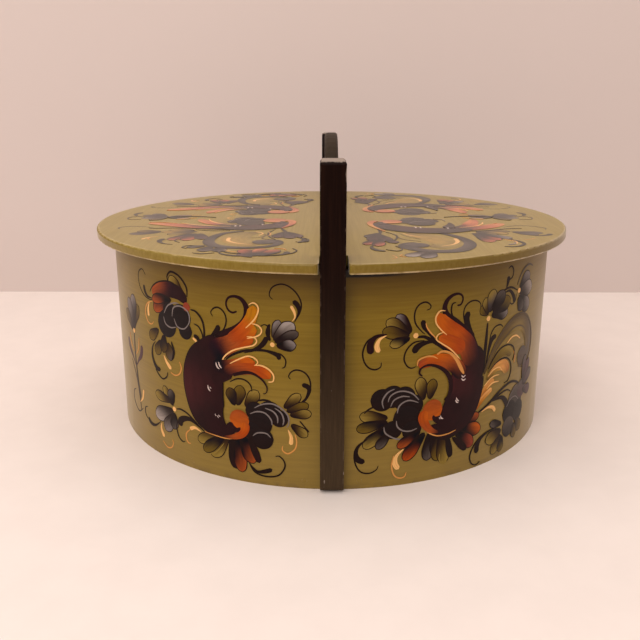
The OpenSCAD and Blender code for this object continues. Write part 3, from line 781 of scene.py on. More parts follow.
def paintRightWall():
    # sprig above the big leaf, and the tall stems behind it
    ink(0.9, 87.3, 96.7, 87.7, 100.2, 84.6, 102.6, 80, 102.8, 76.2, 100.2, 75.4, 95.5, 77.3, 89.4, 80.4, 83.2,
        84.2, 77)
    inkComma(4.4, 79.6, 97, 77.7, 94, 78.8, 89.4, 82.7, 82.5, 87.3, 74.8, 92, 65.5)
    ink(2.4, 94.2, 88.6, 93.8, 77.8, 93.3, 68, 93.5, 58.6)
    inkComma(3.4, 102.7, 79.4, 98.8, 77.8, 96.5, 71.7, 94.2, 58.6)
    ink(0.9, 108.8, 83.2, 105.8, 85.2, 101.2, 84.8, 98, 81.7, 96.5, 76)
    # upper right flowers
    ink(1.3, 99, 97, 104, 103, 109, 105.5, 115, 105.5, 122, 102.5)
    inkComma(3.4, 118.8, 96, 117.3, 100.2, 112.7, 104, 106.5, 103)
    ink(0.9, 112, 98.5, 116, 95.5, 120, 97, 120.5, 101)
    inkComma(4.4, 111.2, 112.8, 110.4, 109, 109.2, 105.5)
    ink(1, 109.5, 110, 114.6, 111.5, 115.6, 115.4, 113, 118.2, 110, 117)
    petals((dull, 6, 94.4, 93, 88, 98.5), (olive, 5.5, 94.2, 93.5, 91.2, 103),
           ("slate leafLit", 7.5, 95.4, 94.2, 98, 107), (night, 8, 97, 92, 112, 91, 0.15),
           ("navy leaf", 8.5, 98, 94, 114, 99), (dusk, 8, 97, 95, 108, 104.5))
    ball("cream", 94.6, 90.8, 1.5)
    petals((night, 9, 124, 101, 137, 109.5, 0.2), (ash, 9, 124, 100.5, 141, 101, 0.15),
           (night, 9, 124, 99, 139, 91, -0.2), (dusk, 7, 123, 98, 129, 90))
    line("slate", 1.2, 121, 106, 126, 113, 134, 116, 141, 114)
    ball("cream", 123.5, 102.3, 1.5)
    # the great olive scroll
    mass("moss bark bark bark bark bark bark slate slate slate",
         "moss leaf leaf leaf leafLit leafLit leaf leaf bark bark",
         93.5, 57.8, 1.6, 98.5, 66.5, 3.4, 104, 73.6, 5, 112, 79.6, 7, 122, 82.4, 9, 131, 81.2, 10, 138, 76, 10,
         141.5, 68.5, 9, 140.5, 60, 7, 135, 55.5, 5)
    line("bark", 1.2, 94, 60, 98, 68.5, 104, 77, 112, 83.8, 122, 87.8, 132, 87, 141, 81.5, 147, 72, 147.5, 62,
         143, 54.5, 136, 52.5, 129, 54.5)
    line("bark", 0.9, 97, 62, 103, 70, 111, 76.5, 121, 80.5, 130, 79.6, 136.5, 75, 139, 69)
    ball("slate", 133.5, 60, 6.2, "bark")
    cream(1, 114.2, 72.5, 118.8, 74.9, 124.2, 74.8, 129.6, 71.7)
    sand(0.8, 122, 66, 124, 62, 123.5, 58)
    # feathered gold lobes
    mass("leaf leaf leafLit leafLit", "moss leaf leaf moss", 97, 58, 3, 105, 66, 5, 113, 68.4, 6,
         119.5, 64.5, 5)
    ink(0.9, 97, 60, 102, 66.5, 108, 70.6, 115, 71.2, 121, 68.8, 123.3, 64, 121.4, 60)
    mass("leaf sand sand rust", "moss gilt sand leafLit", 96, 54, 3, 104, 59.5, 5, 112, 59.4, 7, 116, 54, 6.4)
    ink(0.9, 98, 58.4, 104.5, 62.8, 112.7, 63.8, 118.6, 60.2, 120.4, 54.4, 118, 48.8, 113.2, 47.8)
    cream(0.7, 97, 55.5, 101.8, 58.8, 107.3, 59.2, 110.6, 56.2)
    mass("gold sand sand", "rust gold sand", 91.5, 44, 2.6, 96.5, 49.6, 4, 103, 52.6, 3.4)
    cream(0.7, 94.5, 50.5, 99, 53.6, 103.5, 54.8, 108, 54.4)
    mass("gold sand cream", "rust gold sand", 88, 37.5, 2.4, 94, 43.4, 3.6, 101.5, 47.6, 3)
    cream(0.9, 96.5, 48, 101.5, 50.8, 108, 50.4)
    # stems and flowers at the lower right
    ink(1.6, 88, 34, 91.2, 35.2, 99.6, 38.6, 108, 43.2, 115.8, 45.8, 122.7, 46.4, 130.4, 43.6, 135.8, 38)
    ink(1, 92, 35.5, 102, 39.4, 109.6, 41.7, 117.3, 42.5, 122, 40.2)
    inkComma(4.4, 118.8, 31, 116.5, 35.5, 111.2, 39.4, 102, 39.2)
    creamComma(2.8, 106, 32, 103.5, 35.2, 98.8, 36.3, 93.5, 34.8)
    balls(("slate", 128.5, 33, 9, "navy"), ("navy", 122, 27, 7.5), ("slate", 136.5, 38.5, 6, "plum"),
          ("navy", 133, 25, 7), ("slate", 121.5, 17.5, 6.5, "navy"))
    line("slate", 0.7, 121, 38, 126, 42, 132, 42, 137, 38.5)
    grey(0.6, 118, 31, 122, 35, 128, 35.5, 133, 32)
    petals(("plum plum", 6, 137, 42, 146, 55), ("plum slate", 6, 138, 40, 151, 47),
           ("plum plum", 6, 138, 37, 151, 34), ("plum slate", 5, 137, 44, 139, 59), (dull, 7, 131, 20, 138, 11),
           (dull, 6, 128, 18, 130, 8))
    ink(0.9, 110.4, 19.4, 105.8, 21, 98.8, 20.5, 92.7, 18.2, 88, 14, 85.8, 8.6, 87.3, 4, 91.2, 1.9, 94.6, 3.2)
    inkComma(4.6, 91.2, 9.4, 91.2, 14, 94.2, 18.2, 99.6, 20)
    petals((dusk, 4.5, 113.5, 22, 102, 25), (olive, 8.5, 113.5, 18, 98.8, 14.5),
           (olive, 7, 113.5, 15, 105, 4.8), ("navy leaf", 6, 114.5, 14, 113, 4))
    # upper left flower
    ink(0.9, 51.2, 101.2, 53.4, 101.8, 53.8, 103.6, 51.2, 105.6, 48, 105.2, 45.4, 102.8, 44.4, 98.6, 45.4, 94,
        48.8, 89.8, 51.2, 87.8)
    inkComma(3.6, 49.2, 96, 50.4, 92.5, 52.7, 89.4, 55.8, 85.5, 59, 82)
    sand(0.8, 51.2, 94.4, 52.3, 91.3, 55, 87.8, 58, 85)
    petals(("wine grey", 6, 43, 89.5, 34.6, 99.8), (olive, 7, 42.4, 89, 29, 97), (dull, 6.5, 42, 88, 27, 91.5),
           ("navy leafLit", 5, 42.4, 86.8, 31.2, 83.2))
    ball("cream", 45.6, 87.7, 1.5)
    comma("wine", 4.8, 20.8, 79, 20.4, 84.5, 23.5, 88.6, 29.6, 89.6)
    ink(0.9, 24, 89.5, 18.8, 86.3, 16.4, 80.2, 17.3, 74.8, 20, 71.3, 23.5, 70.3, 26.2, 71.7, 26.5, 74.4)
    creamComma(3.4, 25.2, 79.8, 23.9, 83.2, 25.4, 87, 29.2, 89)
    ink(2.2, 46.5, 86.6, 51.2, 86.3, 58.8, 81.7, 66.5, 76.3, 72, 71.7, 75.5, 67)
    inkComma(4.4, 44.6, 77.8, 46.5, 81, 50.4, 82.8, 55, 83.2, 59, 82)
    ink(0.9, 51.2, 84.4, 45, 84, 40.8, 80.5, 39.2, 75.5, 40.8, 71.3, 43.5, 69.5, 46.5, 70.2)
    # cluster and olive petals on its left
    petals((olive, 6.5, 51.6, 50, 48.8, 63.4), (dull, 6, 55.4, 50, 57.3, 61.5),
           (olive, 6.5, 31, 41.8, 15.4, 43.8), ("navy leaf", 6, 31, 39.5, 13.8, 36),
           ("navy leafLit", 6.5, 31, 37, 17.7, 25), (dusk, 5, 33, 34, 25, 24))
    ink(1, 29, 47, 24.5, 49, 20, 47.5, 17.5, 45)
    ink(0.9, 14, 26, 12.5, 21, 13.5, 14.8, 16.5, 10.5, 21.2, 9.5, 25, 11.3, 26.2, 14)
    inkComma(3.8, 18.5, 16.4, 14.8, 18, 13.4, 22, 15, 26.4, 20, 30.4)
    lobes((27.5, 52.5, 6), (33.5, 54, 6), (40, 52.5, 6.4), (45.5, 48, 5.6), (34, 34.5, 5), (42, 40.5, 7.6),
          (45, 33.4, 5.4))
    lines("grey", 0.8, (28.5, 47.5, 27.6, 52, 30.4, 56.6, 34.6, 58.6),
          (30.8, 51, 32, 54.4, 35.8, 56.6, 40.4, 56.6, 45, 54.6, 49, 50.4),
          (32.3, 48.2, 34.2, 52, 38.8, 53.8, 43.5, 53), (36.2, 44, 37, 47.8, 39.6, 50.2, 43.5, 51, 48.8, 49),
          (35.8, 40, 36.5, 36.3, 39.6, 33.6, 44.2, 32.8, 48.5, 34),
          (28.8, 37, 29.6, 33.2, 33.5, 30.2, 38, 28.6, 42, 29.4))
    # petals at its foot
    petals((red, 5.5, 50, 32.5, 37, 23.6), ("wine orange", 7, 53, 30.5, 40.8, 15.5),
           (dusk, 6.5, 56, 30, 55, 13.4), (dusk, 4, 58, 28, 59.5, 16), (dull, 7, 61, 28, 61.5, 12),
           (olive, 8, 63, 28, 67, 9.5))
    line("leafLit", 0.7, 69.6, 14, 67.4, 9.4, 63.6, 11, 63.4, 16)
    petal("navy ink", 3.4, 67.5, 28, 70.8, 12.5)
    creamComma(3.8, 38, 10.5, 35.8, 14, 36.5, 18.6, 40.8, 22.5)
    sand(0.8, 35, 19, 33.8, 13.2, 35, 7.8, 38, 5, 41.5, 5.2, 42.7, 7.8)
    petals((red, 5.5, 77, 31, 91.2, 34), ("wine flame", 8, 76, 29, 93, 24.4), ("wine brick", 8, 74, 27, 87, 16),
           ("wine ink", 3.4, 72, 24, 82, 14.6))
    # the big leaf itself
    mass("wine", None, 83.5, 81, 5.4, 76.5, 87, 5, 69.6, 92.8, 4.4, 64.6, 96.6, 3.8, 62.5, 101, 3.2,
         63.8, 105.2, 2.6, 67.3, 107.8, 1.8, 71.2, 108.2, 1.3, 73.8, 106.7, 1.1, 74.2, 104, 1.1,
         72.7, 101.9, 1.1, 70.4, 101.9, 0.9)
    ink(1, 70, 103.4, 67.7, 103.2, 66.8, 100.6, 67.4, 97, 70, 93.2, 74.2, 89)
    mass("ink", None, 84, 77, 11, 84.4, 68, 18.4, 80.9, 60, 24.4, 80.2, 52, 25.4, 77.6, 44, 25.4, 73, 37, 23.4,
         67, 31, 15.4, 61, 30.4, 9, 57.6, 33, 5)
    mass("wine", "wine wine wineLit wineLit wine wine wine wine wine", 84, 76, 10, 84, 68, 17, 80.5, 60, 23,
         80, 52, 24, 77.5, 44, 24, 73, 37, 22, 67, 31.5, 14, 61, 31, 8, 57, 34, 5)
    mass("wine rust flame flame flame flame flame", "wine wineLit orange orange flame flame flame",
         84, 66, 13, 79.5, 76.5, 12.4, 72.5, 84, 11, 66, 89.4, 9.6, 61.8, 93.5, 8, 59.6, 97, 6, 59.4, 99, 3.4)
    mass("rust orange flame flame flame", "orange orange orange orange flame",
         76.5, 75.5, 8, 72.5, 78.4, 9, 67, 81.8, 8, 61.5, 84.5, 5.8, 59.6, 85.8, 3.4)
    cream(0.7, 63, 99.8, 59.5, 100, 57.1, 97, 57.4, 93.5, 60, 90, 64.5, 86)
    cream(0.7, 63, 88, 59, 86.9, 58, 84.2, 62, 81.2, 67, 77.8, 72, 73, 75.3, 68.5, 76.5, 64.5)
    mass("wine wine rust orange orange", "wine rust flame flame brick",
         77, 60, 8, 71.5, 67, 9, 64.5, 71.2, 8, 57, 72.6, 6.8, 47.4, 70.6, 4.4)
    sand(0.8, 47, 70.4, 47.6, 73.6, 52, 75.2, 56, 75, 59.4, 73.2)
    mass("sand", None, 58.6, 75.6, 0.8, 62, 77, 1.2, 67, 75.4, 1.4, 71.5, 71.2, 2, 75.3, 65, 2.2, 77.5, 61.5, 1)
    mass("wine", None, 50.4, 64.3, 0.9, 48.4, 66, 1, 49.4, 69, 1.1, 54, 70.3, 1.4, 60, 68.4, 1.9, 65, 64.8, 2.4,
         68, 60, 2.8, 68.8, 55, 2.8, 67.8, 50.3, 2.4, 65, 48, 1.6)
    sand(0.7, 74, 28.5, 68, 27.2, 61, 27.4, 55, 30.6, 51.2, 36)
    ball("rust", 57.4, 43.6, 6.2, "flame")
    mass("flame flame orange rust wine", "orange orange rust rust wine",
         52.4, 44, 5, 51.6, 39.6, 6, 53.4, 35, 5, 57, 31.4, 3.4, 62, 29.4, 1)
    mass("wine", None, 66, 36.6, 7.4, 61.6, 37, 5, 58.6, 38.4, 2.6, 58, 40.4, 1.2)
    lines("white", 0.8, (75.8, 61, 77, 59.8, 78.8, 60.6), (75.8, 59.2, 77.2, 57.8, 79, 58.4),
          (73, 48.3, 73.6, 46.8, 75, 45.8), (72.4, 47, 73.4, 45.4, 74.6, 45),
          (62.6, 39.4, 63.2, 37.8, 64.6, 37.2), (61.8, 38.4, 62.6, 37.2))


def paintFarScroll():
    # a plain traditional sprig that fills the space beyond the left panel
    ink(1, -134, 24, -141, 20, -148, 24, -148.5, 31, -144, 34)
    comma("bark", 4, -137, 30, -139, 38, -143, 46, -148, 53)
    ink(1.6, -137, 22, -139, 40, -141, 58, -140, 76)
    petals((dull, 8, -140, 74, -131, 90, 0.2), (night, 9, -140.5, 75, -138, 96),
           ("slate grey", 8, -141.5, 75, -147.5, 92, -0.2), (dull, 7, -142, 73, -153, 83, -0.2))
    ball("cream", -140.2, 73, 1.5)
    comma("plum", 4.4, -130, 66, -131.5, 60, -136, 55, -140.5, 50)
    comma("plum", 4.4, -152, 66, -150, 60, -145, 55, -141, 50)
    sand(0.8, -133.5, 70, -135, 63, -139, 58)
    sand(0.8, -148, 70, -147, 64, -142, 59)
    creamComma(2.6, -131.5, 37, -133.5, 31, -138, 27)


def paintLidLeft():
    # one quarter of the lid, nearest the front post on its left
    ink(1.3, -113, -41, -124, -37, -131, -38.5, -134, -43, -132, -48)
    inkComma(4, -134, -62, -129, -66, -121, -67, -112, -61)
    ink(1, -129, -60, -134.5, -57, -136, -61, -133.5, -65)
    petals((dusk, 9, -104, -58, -122, -65, 0.15), (dull, 8, -104, -57, -119, -56),
           ("leaf gilt", 8, -84, -54, -103, -59, 0.1), (olive, 8, -82, -56, -98, -68),
           ("leaf gilt", 7, -84, -52, -100, -51), (rose, 8.5, -84, -64, -93, -87),
           (rose, 8.5, -82, -64, -84, -88), (mauve, 7.5, -79, -64, -75, -84))
    comma("navy", 4.4, -97.5, -82, -98.5, -90, -95, -97, -89, -100)
    ink(1.1, -88, -78, -90, -88, -86, -94)
    creamComma(2.4, -110, -84, -108, -78, -102, -74)
    sand(0.9, -104, -86, -107, -82, -106, -76)
    # C-scroll and its gold inside
    mass("leaf leafLit leafLit leafLit leaf", "leaf leafLit gilt gilt leaf",
         -46, -58, 10, -54, -70, 16, -55, -84, 18, -49, -96, 15, -40, -99, 9)
    line("leaf", 1.2, -44, -60, -39, -68, -42, -77, -50, -79)
    cream(1.2, -46, -57, -41, -63, -43, -71)
    creamComma(3, -59.5, -78, -59, -88, -53, -96, -44, -100)
    line("moss", 1.2, -37, -66, -40, -80, -34, -84)
    mass("ink navy navy slate slate slate navy navy slate navy navy",
         "ink wine navy navy navy navy navy navy navy navy navy",
         -53, -55, 3, -64, -63, 5, -69, -76, 6, -70, -91, 7, -65.5, -103, 7.5, -56, -109, 7, -44, -109.5, 5.5,
         -34, -105.5, 5, -29.5, -97, 5.5, -31, -88.5, 5, -37, -85.5, 3)
    ball("slate", -38, -92.5, 7, "navy")
    petals((dusk, 8, -67, -106, -69, -121), (dusk, 8, -61, -108, -60, -122), (dusk, 6, -70, -104, -79, -110))
    ink(1.1, -74, -124, -69, -127, -62, -124.5)
    ink(1, -73, -104, -80, -104, -82, -109, -79, -112)
    ink(1.1, -60, -117, -56, -123, -50, -126, -45, -124)
    inkComma(3.6, -46, -132, -52, -131.5, -58, -127, -61, -120)
    cream(0.9, -58, -116, -53, -121, -47, -122)
    # tulip at the rim
    mass("wine", "plum", -38, -126, 6, -38, -136, 7, -35, -146, 5)
    petals((rose, 8.5, -39, -133, -47.5, -115, 0.1), ("wine salmon", 8, -39, -133, -38, -113),
           (rose, 8, -38, -133, -29.5, -116, -0.1), (mauve, 5, -41, -136, -49, -128))
    inkComma(4, -23.5, -121, -24, -127, -29, -131, -36, -133)
    ink(1, -21, -112, -18.5, -118, -21, -126, -27, -129)
    sand(0.8, -31, -112, -26, -113, -24, -117)
    # small tulip beside the handle
    ink(2.4, -31, -44, -28, -55, -26, -64)
    ink(1.2, -34, -48, -37.5, -62, -36, -76, -32, -84)
    petals((mauve, 8, -27, -58, -31, -79, -0.1), (mauve, 8.5, -26.5, -58, -23.5, -81),
           (mauve, 6, -25, -60, -17.5, -77))
    inkComma(4.4, -18.5, -94.5, -15, -88, -17, -80, -22, -74)
    ink(1, -20, -92, -13.5, -92, -13, -84, -16, -79)
    sand(0.8, -38, -58, -36, -66, -37, -73)
    # dark lobes above the big leaf
    lobes((-57, -6, 7.5), (-50, -11, 8.5), (-60, -17, 8), (-52, -24, 9))
    grey(1.1, -64, -11, -60, -3, -52, -2.5)
    grey(1.1, -57, -17, -53, -8, -44, -8)
    grey(1.1, -67, -22, -64, -12, -57, -12)
    cream(0.9, -66, -8, -70, -2, -66, 3)
    # the big leaf with its flames
    ink(1.8, -60, -51, -78, -47, -96, -43.5, -111, -45, -115, -43)
    ink(1.2, -62, -54, -74, -54, -84, -50)
    mass("wine wine salmon apricot salmon", "wine wineLit coral salmon coral",
         -58, -38, 9, -68, -31.5, 9, -77, -25, 9, -84, -16, 7.5, -87, -8, 4)
    mass("wine wineLit coral salmon apricot salmon", "wine wine wineLit coral salmon apricot",
         -58, -43, 10, -72, -42, 10, -86, -38.5, 11, -100, -32.5, 11, -112, -27.5, 8, -119, -25, 4)
    cream(1.4, -63, -37.5, -76, -36, -88, -31.5, -98, -24)
    cream(1.2, -61, -33, -72, -26, -79, -16, -82, -7)
    sand(1, -100, -26, -110, -21.5, -119, -22)
    mass("ink", None, -36, -22, 9, -31, -29, 16, -37, -37, 17.4, -48, -42.5, 18.4, -60, -44, 15, -68, -44, 8)
    mass("wine", "wine plum wineLit wineLit wine wine", -36, -22, 7, -31, -29, 14, -37, -37, 16, -48, -42, 17,
         -60, -43.5, 13, -70, -44, 6)
    mass("apricot apricot salmon coral coral", "coral salmon salmon coral wine",
         -30, -11, 5, -25.5, -16, 5.5, -24.6, -26, 4.4, -27, -36, 3, -31, -45, 1.4)
    ball("coral", -36.5, -13.5, 8, "apricot")
    mass("wine", None, -34, -26, 8, -31, -21.5, 5, -32, -17, 2.4)
    lines("white", 1.1, (-61, -39.5, -60.4, -36, -61.6, -33.5), (-58, -39, -57.4, -36, -58.4, -33.6),
          (-44, -33, -43.4, -30.6, -44.4, -29))


def paintLidSide():
    # small dark sprig at the lid's edge, midway between the posts
    petals((dusk, 8, -112, 3, -123, 19, 0.1), (dusk, 8.5, -112, 2, -130, 11), (night, 8, -112, 0, -129, -2),
           (dusk, 8, -112, 2, -97, 11), ("navy plum", 7, -111, -1, -95, -5),
           (dull, 7, -111, -2, -121, -12, -0.1))
    inkComma(4, -134, 24, -137, 16, -134, 7, -127, 2)
    ink(1.1, -128, -8, -136, -8, -138, 0, -134, 5)
    ink(1.6, -112, 1, -100, 4, -88, 4, -78, 0)
    sand(0.9, -106, 8, -98, 12, -90, 11)
    creamComma(2.6, -104, -8, -97, -6, -91, -1)


def paintLidRight():
    # one quarter of the lid, nearest the front post on its right
    ink(1.2, 110, -40, 120, -33, 130, -35, 136, -42, 135, -48)
    inkComma(4, 134, -63, 131, -68, 124, -70, 114, -64)
    petals((dusk, 9, 112, -56, 130, -60, -0.15), (dusk, 8, 112, -57, 125, -68), (dull, 8, 92, -54, 111, -55),
           ("leaf gilt", 8, 90, -55, 108, -64), (olive, 7, 90, -57, 100, -72),
           (rose, 9, 87, -62, 91.5, -92, 0.1), (rose, 8, 89, -62, 98, -86), (night, 8, 90, -62, 106, -81))
    ink(2.2, 100, -80, 107.5, -87, 109.5, -97, 104, -105, 96.5, -105.5)
    comma("grey", 3, 100, -100, 105, -96, 105, -90)
    cream(1, 101, -82, 106.5, -90, 105, -98)
    sand(0.9, 112, -84, 117, -82, 121, -78)
    # C-scroll and its gold inside
    mass("leaf leafLit leafLit leafLit leaf", "leaf gilt gilt leafLit leaf",
         48, -60, 10, 58, -74, 17, 66, -90, 19, 63, -103, 16, 55, -106, 9)
    line("leaf", 1.2, 42, -62, 46, -74, 54, -82, 60, -80)
    cream(1.2, 44, -62, 48, -70, 54, -76)
    creamComma(3.2, 73, -80, 73, -90, 69, -99, 61, -105)
    line("moss", 1.2, 38, -64, 42, -82, 52, -90)
    mass("ink wine navy navy navy navy navy navy navy navy navy",
         "ink navy navy slate slate slate slate slate slate navy navy",
         62, -57, 3, 71, -67, 5, 77.5, -81, 6, 79, -96, 7, 75, -109.5, 8, 67.5, -118, 8.5, 55.5, -119.5, 8.5,
         46, -113.5, 8.5, 41.5, -104.5, 8, 43.5, -97, 5, 49, -94.5, 3)
    ball("slate", 48.5, -102, 7, "navy")
    petals((ash, 8, 52, -119, 40, -134), (night, 8, 55, -120, 49, -138), (ash, 8, 58, -120, 60, -139),
           (night, 8, 61, -120, 71, -134), (ash, 6.5, 64, -119, 80, -127))
    ink(1.4, 40, -140, 46, -143, 52.5, -141, 54, -137)
    sand(0.8, 32, -130, 34, -136, 31, -140)
    sand(0.8, 38, -128, 36, -132, 39, -135)
    # small tulip beside the handle
    ink(2.4, 30, -46, 31, -56, 30, -66)
    ink(1.2, 34, -58, 39.5, -70, 38, -84, 33, -92)
    petals((dusk, 8, 30, -62, 22, -78), (mauve, 8.5, 30, -66, 24, -88), (mauve, 8, 30, -68, 33, -90),
           (rose, 6.5, 26, -84, 20, -101), (rose, 7, 29, -84, 26.5, -105), ("navy plum", 6, 33, -84, 37, -96))
    inkComma(4, 29.5, -119.5, 24.5, -116, 22.5, -108, 25, -100)
    ink(1, 30, -115, 36, -119, 39, -113, 36, -105)
    # dark lobes above the big leaf
    lobes((57, -7, 8), (64, -14, 8.5), (52, -17, 8), (60, -25, 9))
    grey(1.1, 50, -6, 56, 1, 64, -2)
    grey(1.1, 45, -16, 49, -9, 57, -9)
    grey(1.1, 58, -12, 66, -6, 72, -12)
    grey(1.1, 52, -24, 58, -17, 67, -20)
    grey(1, 70, -6, 76, -9, 77, -16)
    # the big leaf with its flames
    ink(1.8, 84, -55, 98, -52, 110, -46, 121, -44)
    mass("wine wineLit salmon apricot salmon", "wine coral salmon coral coral",
         80, -45, 10, 88, -36, 10, 92.5, -25, 9.5, 95.5, -15, 7, 96.5, -8, 4)
    mass("wine wine coral salmon salmon", "wine coral salmon apricot apricot",
         80, -49, 10, 92, -44, 11, 102, -37, 11, 109, -30, 8, 113, -25.5, 4)
    cream(1.3, 82, -42, 92, -37, 99, -28, 101, -20)
    sand(1, 88, -40, 101, -31, 110, -23)
    mass("ink", None, 33, -23, 9, 34, -34, 15, 44, -46, 19.4, 58, -53, 20.4, 74, -53, 17.4, 88, -48, 9)
    mass("wine wine wineLit wineLit wine wine", "wine", 33, -23, 7, 34, -34, 13, 44, -46, 18, 58, -52.5, 19,
         74, -52.5, 16, 89, -48, 7)
    mass("wine", None, 74, -44, 9, 77.5, -34, 6, 79, -22, 1.2)
    mass("coral salmon sand sand", "apricot salmon sand coral", 31.5, -14.5, 5, 27, -22, 4.4, 27, -36, 3,
         34, -56, 1.4)
    ball("coral", 40.5, -18.5, 7.6, "apricot")
    mass("wine", None, 36, -30, 8, 33, -24, 5, 34.5, -19.5, 2.4)
    lines("white", 1.1, (54, -45, 54.6, -41.6, 53.6, -39), (57, -45, 57.6, -41.8, 56.6, -39.4),
          (74, -47, 74.6, -44.4, 73.6, -42.6))


def layPaintTree():
    # flattens each stroke's edge into a low, round-ended ribbon on the wall or the lid
    tree = bpy.data.node_groups.new("layPaint", "GeometryNodeTree")
    for name, kind in [("Strokes", "Geometry"), ("Step", "Float"), ("Sink", "Float"), ("Radius", "Float"),
                       ("Turn", "Float"), ("Lid Level", "Float"), ("Sides", "Int"), ("On Lid", "Bool"),
                       ("Paint", "Material")]:
        tree.interface.new_socket(name, in_out="INPUT", socket_type="NodeSocket" + kind)
    tree.interface.new_socket("Strokes", in_out="OUTPUT", socket_type="NodeSocketGeometry")
    g = Board("layPaint", tree)
    edges, step, sink, radius, turn, lidLevel, sides, onLid, paint = g.add("NodeGroupInput")[:9]

    def read(name, kind="FLOAT"):
        return g.add("GeometryNodeInputNamedAttribute", {"data_type": kind}, {0: name})[0]

    def keep(mesh, name, value, kind="FLOAT"):
        settings = {"data_type": kind, "domain": "POINT"}
        return g.add("GeometryNodeStoreNamedAttribute", settings, {0: mesh, 2: name, 3: value})[0]

    curve = g.add("GeometryNodeMeshToCurve", None, {0: edges})[0]
    curve = g.add("GeometryNodeCurveSplineType", {"spline_type": "CATMULL_ROM"}, {0: curve})[0]
    reach = g.add("GeometryNodeSplineLength")[0]
    spacing = step.maths("MINIMUM", reach / 9.0)
    curve = g.add("GeometryNodeResampleCurve", {"mode": "LENGTH"}, {0: curve, 3: spacing})[0]
    curve = g.add("GeometryNodeSetCurveNormal", {"mode": "Z_UP"}, {0: curve})[0]
    gone = g.add("GeometryNodeSplineParameter")[1]
    curve = keep(curve, "gone", gone)
    half = read("halfWidth")
    inward = 1.0 - (gone.maths("MINIMUM", reach - gone) / half).maths("MINIMUM", 1.0)
    # round ends, which stop a little short of a point so that the ribbon stays closed
    rounded = (1.0 - inward * inward).maths("MAXIMUM", 0.0).maths("SQRT").maths("MAXIMUM", 0.06)
    circle = g.add("GeometryNodeCurvePrimitiveCircle", {"mode": "RADIUS"}, {0: sides, 4: 1.0})[0]
    circle = keep(circle, "flat", g.add("GeometryNodeInputPosition")[0], "FLOAT_VECTOR")
    ribbon = g.add("GeometryNodeCurveToMesh", None, {0: curve, 1: circle, 2: half * rounded, 3: True})[0]

    across = g.split(read("flat", "FLOAT_VECTOR"))[0]
    x, y, up = g.split(g.add("GeometryNodeInputPosition")[0])[:3]
    top = up.maths("GREATER_THAN", -0.000001)
    height = top * (read("height") + sink) - sink
    angle = x / radius + turn
    out = radius + height
    onWall = g.join(out * angle.maths("SINE"), out * angle.maths("COSINE") * -1.0, y)
    sockets = {0: onLid, 1: onWall, 2: g.join(x, y, lidLevel + height)}
    place = g.add("GeometryNodeSwitch", {"input_type": "VECTOR"}, sockets)[0]
    ribbon = keep(ribbon, "brush", g.join(read("gone"), across, read("order")), "FLOAT_VECTOR")
    blend = g.mix(across * 0.5 + 0.5, read("paintLeft", "FLOAT_COLOR"), read("paintRight", "FLOAT_COLOR"))
    ribbon = keep(ribbon, "paint", blend, "FLOAT_COLOR")
    ribbon = g.add("GeometryNodeSetPosition", None, {0: ribbon, 2: place})[0]
    ribbon = g.add("GeometryNodeRealizeInstances", None, {0: ribbon})[0]
    ribbon = g.add("GeometryNodeSetMaterial", None, {0: ribbon, 2: paint})[0]
    g.add("NodeGroupOutput", None, {0: ribbon})
    return tree


def takeStrokes():
    # hands over what has been painted so far, for one panel
    taken = list(strokes)
    strokes.clear()
    return taken


def placed(panel, place, mirrored=False):
    # the same strokes somewhere else; a mirrored stroke swaps its two sides
    result = []
    for points, widths, left, right in panel:
        if mirrored:
            left, right = right, left
        result.append(([place(x, y) for x, y in points], widths, left, right))
    return result


def laidHeights(panel, opt):
    # each stroke lies just over those that it covers
    # a broad one lies higher, because its section is flat and the wall is round
    boxes, heights = [], []
    for points, widths, left, right in panel:
        reach = max(widths) / 2
        xs, ys = zip(*points)
        box = (min(xs) - reach, max(xs) + reach, min(ys) - reach, max(ys) + reach)
        under = [h for h, o in zip(heights, boxes)
                 if box[0] < o[1] and o[0] < box[1] and box[2] < o[3] and o[2] < box[3]]
        boxes.append(box)
        heights.append(max(under, default=opt["lift"]) + opt["layer"] + opt["broad"] * max(widths) ** 2)
    return heights


def strokeMesh(name, panel, opt):
    # every stroke as a chain of edges, with what the tree reads kept at each point
    mesh = bpy.data.meshes.new(name)
    points, edges, halves, lefts, rights, heights, orders = [], [], [], [], [], [], []
    for order, ((spine, widths, left, right), height) in enumerate(zip(panel, laidHeights(panel, opt))):
        first = len(points)
        points += [(x * mm, y * mm, 0) for x, y in spine]
        edges += [(first + i, first + i + 1) for i in range(len(spine) - 1)]
        halves += [w * mm / 2 for w in widths]
        lefts += [linear(*paintColours[c]) for c in left]
        rights += [linear(*paintColours[c]) for c in right]
        heights += [height * mm] * len(spine)
        orders += [order] * len(spine)
    mesh.from_pydata(points, edges, [])
    for label, values in [("halfWidth", halves), ("height", heights), ("order", orders)]:
        mesh.attributes.new(label, "FLOAT", "POINT").data.foreach_set("value", values)
    for label, values in [("paintLeft", lefts), ("paintRight", rights)]:
        flat = [v for colour in values for v in colour]
        mesh.attributes.new(label, "FLOAT_COLOR", "POINT").data.foreach_set("color", flat)
    print(name, "paint stands", round(max(heights) / mm, 3), "mm proud")
    return mesh


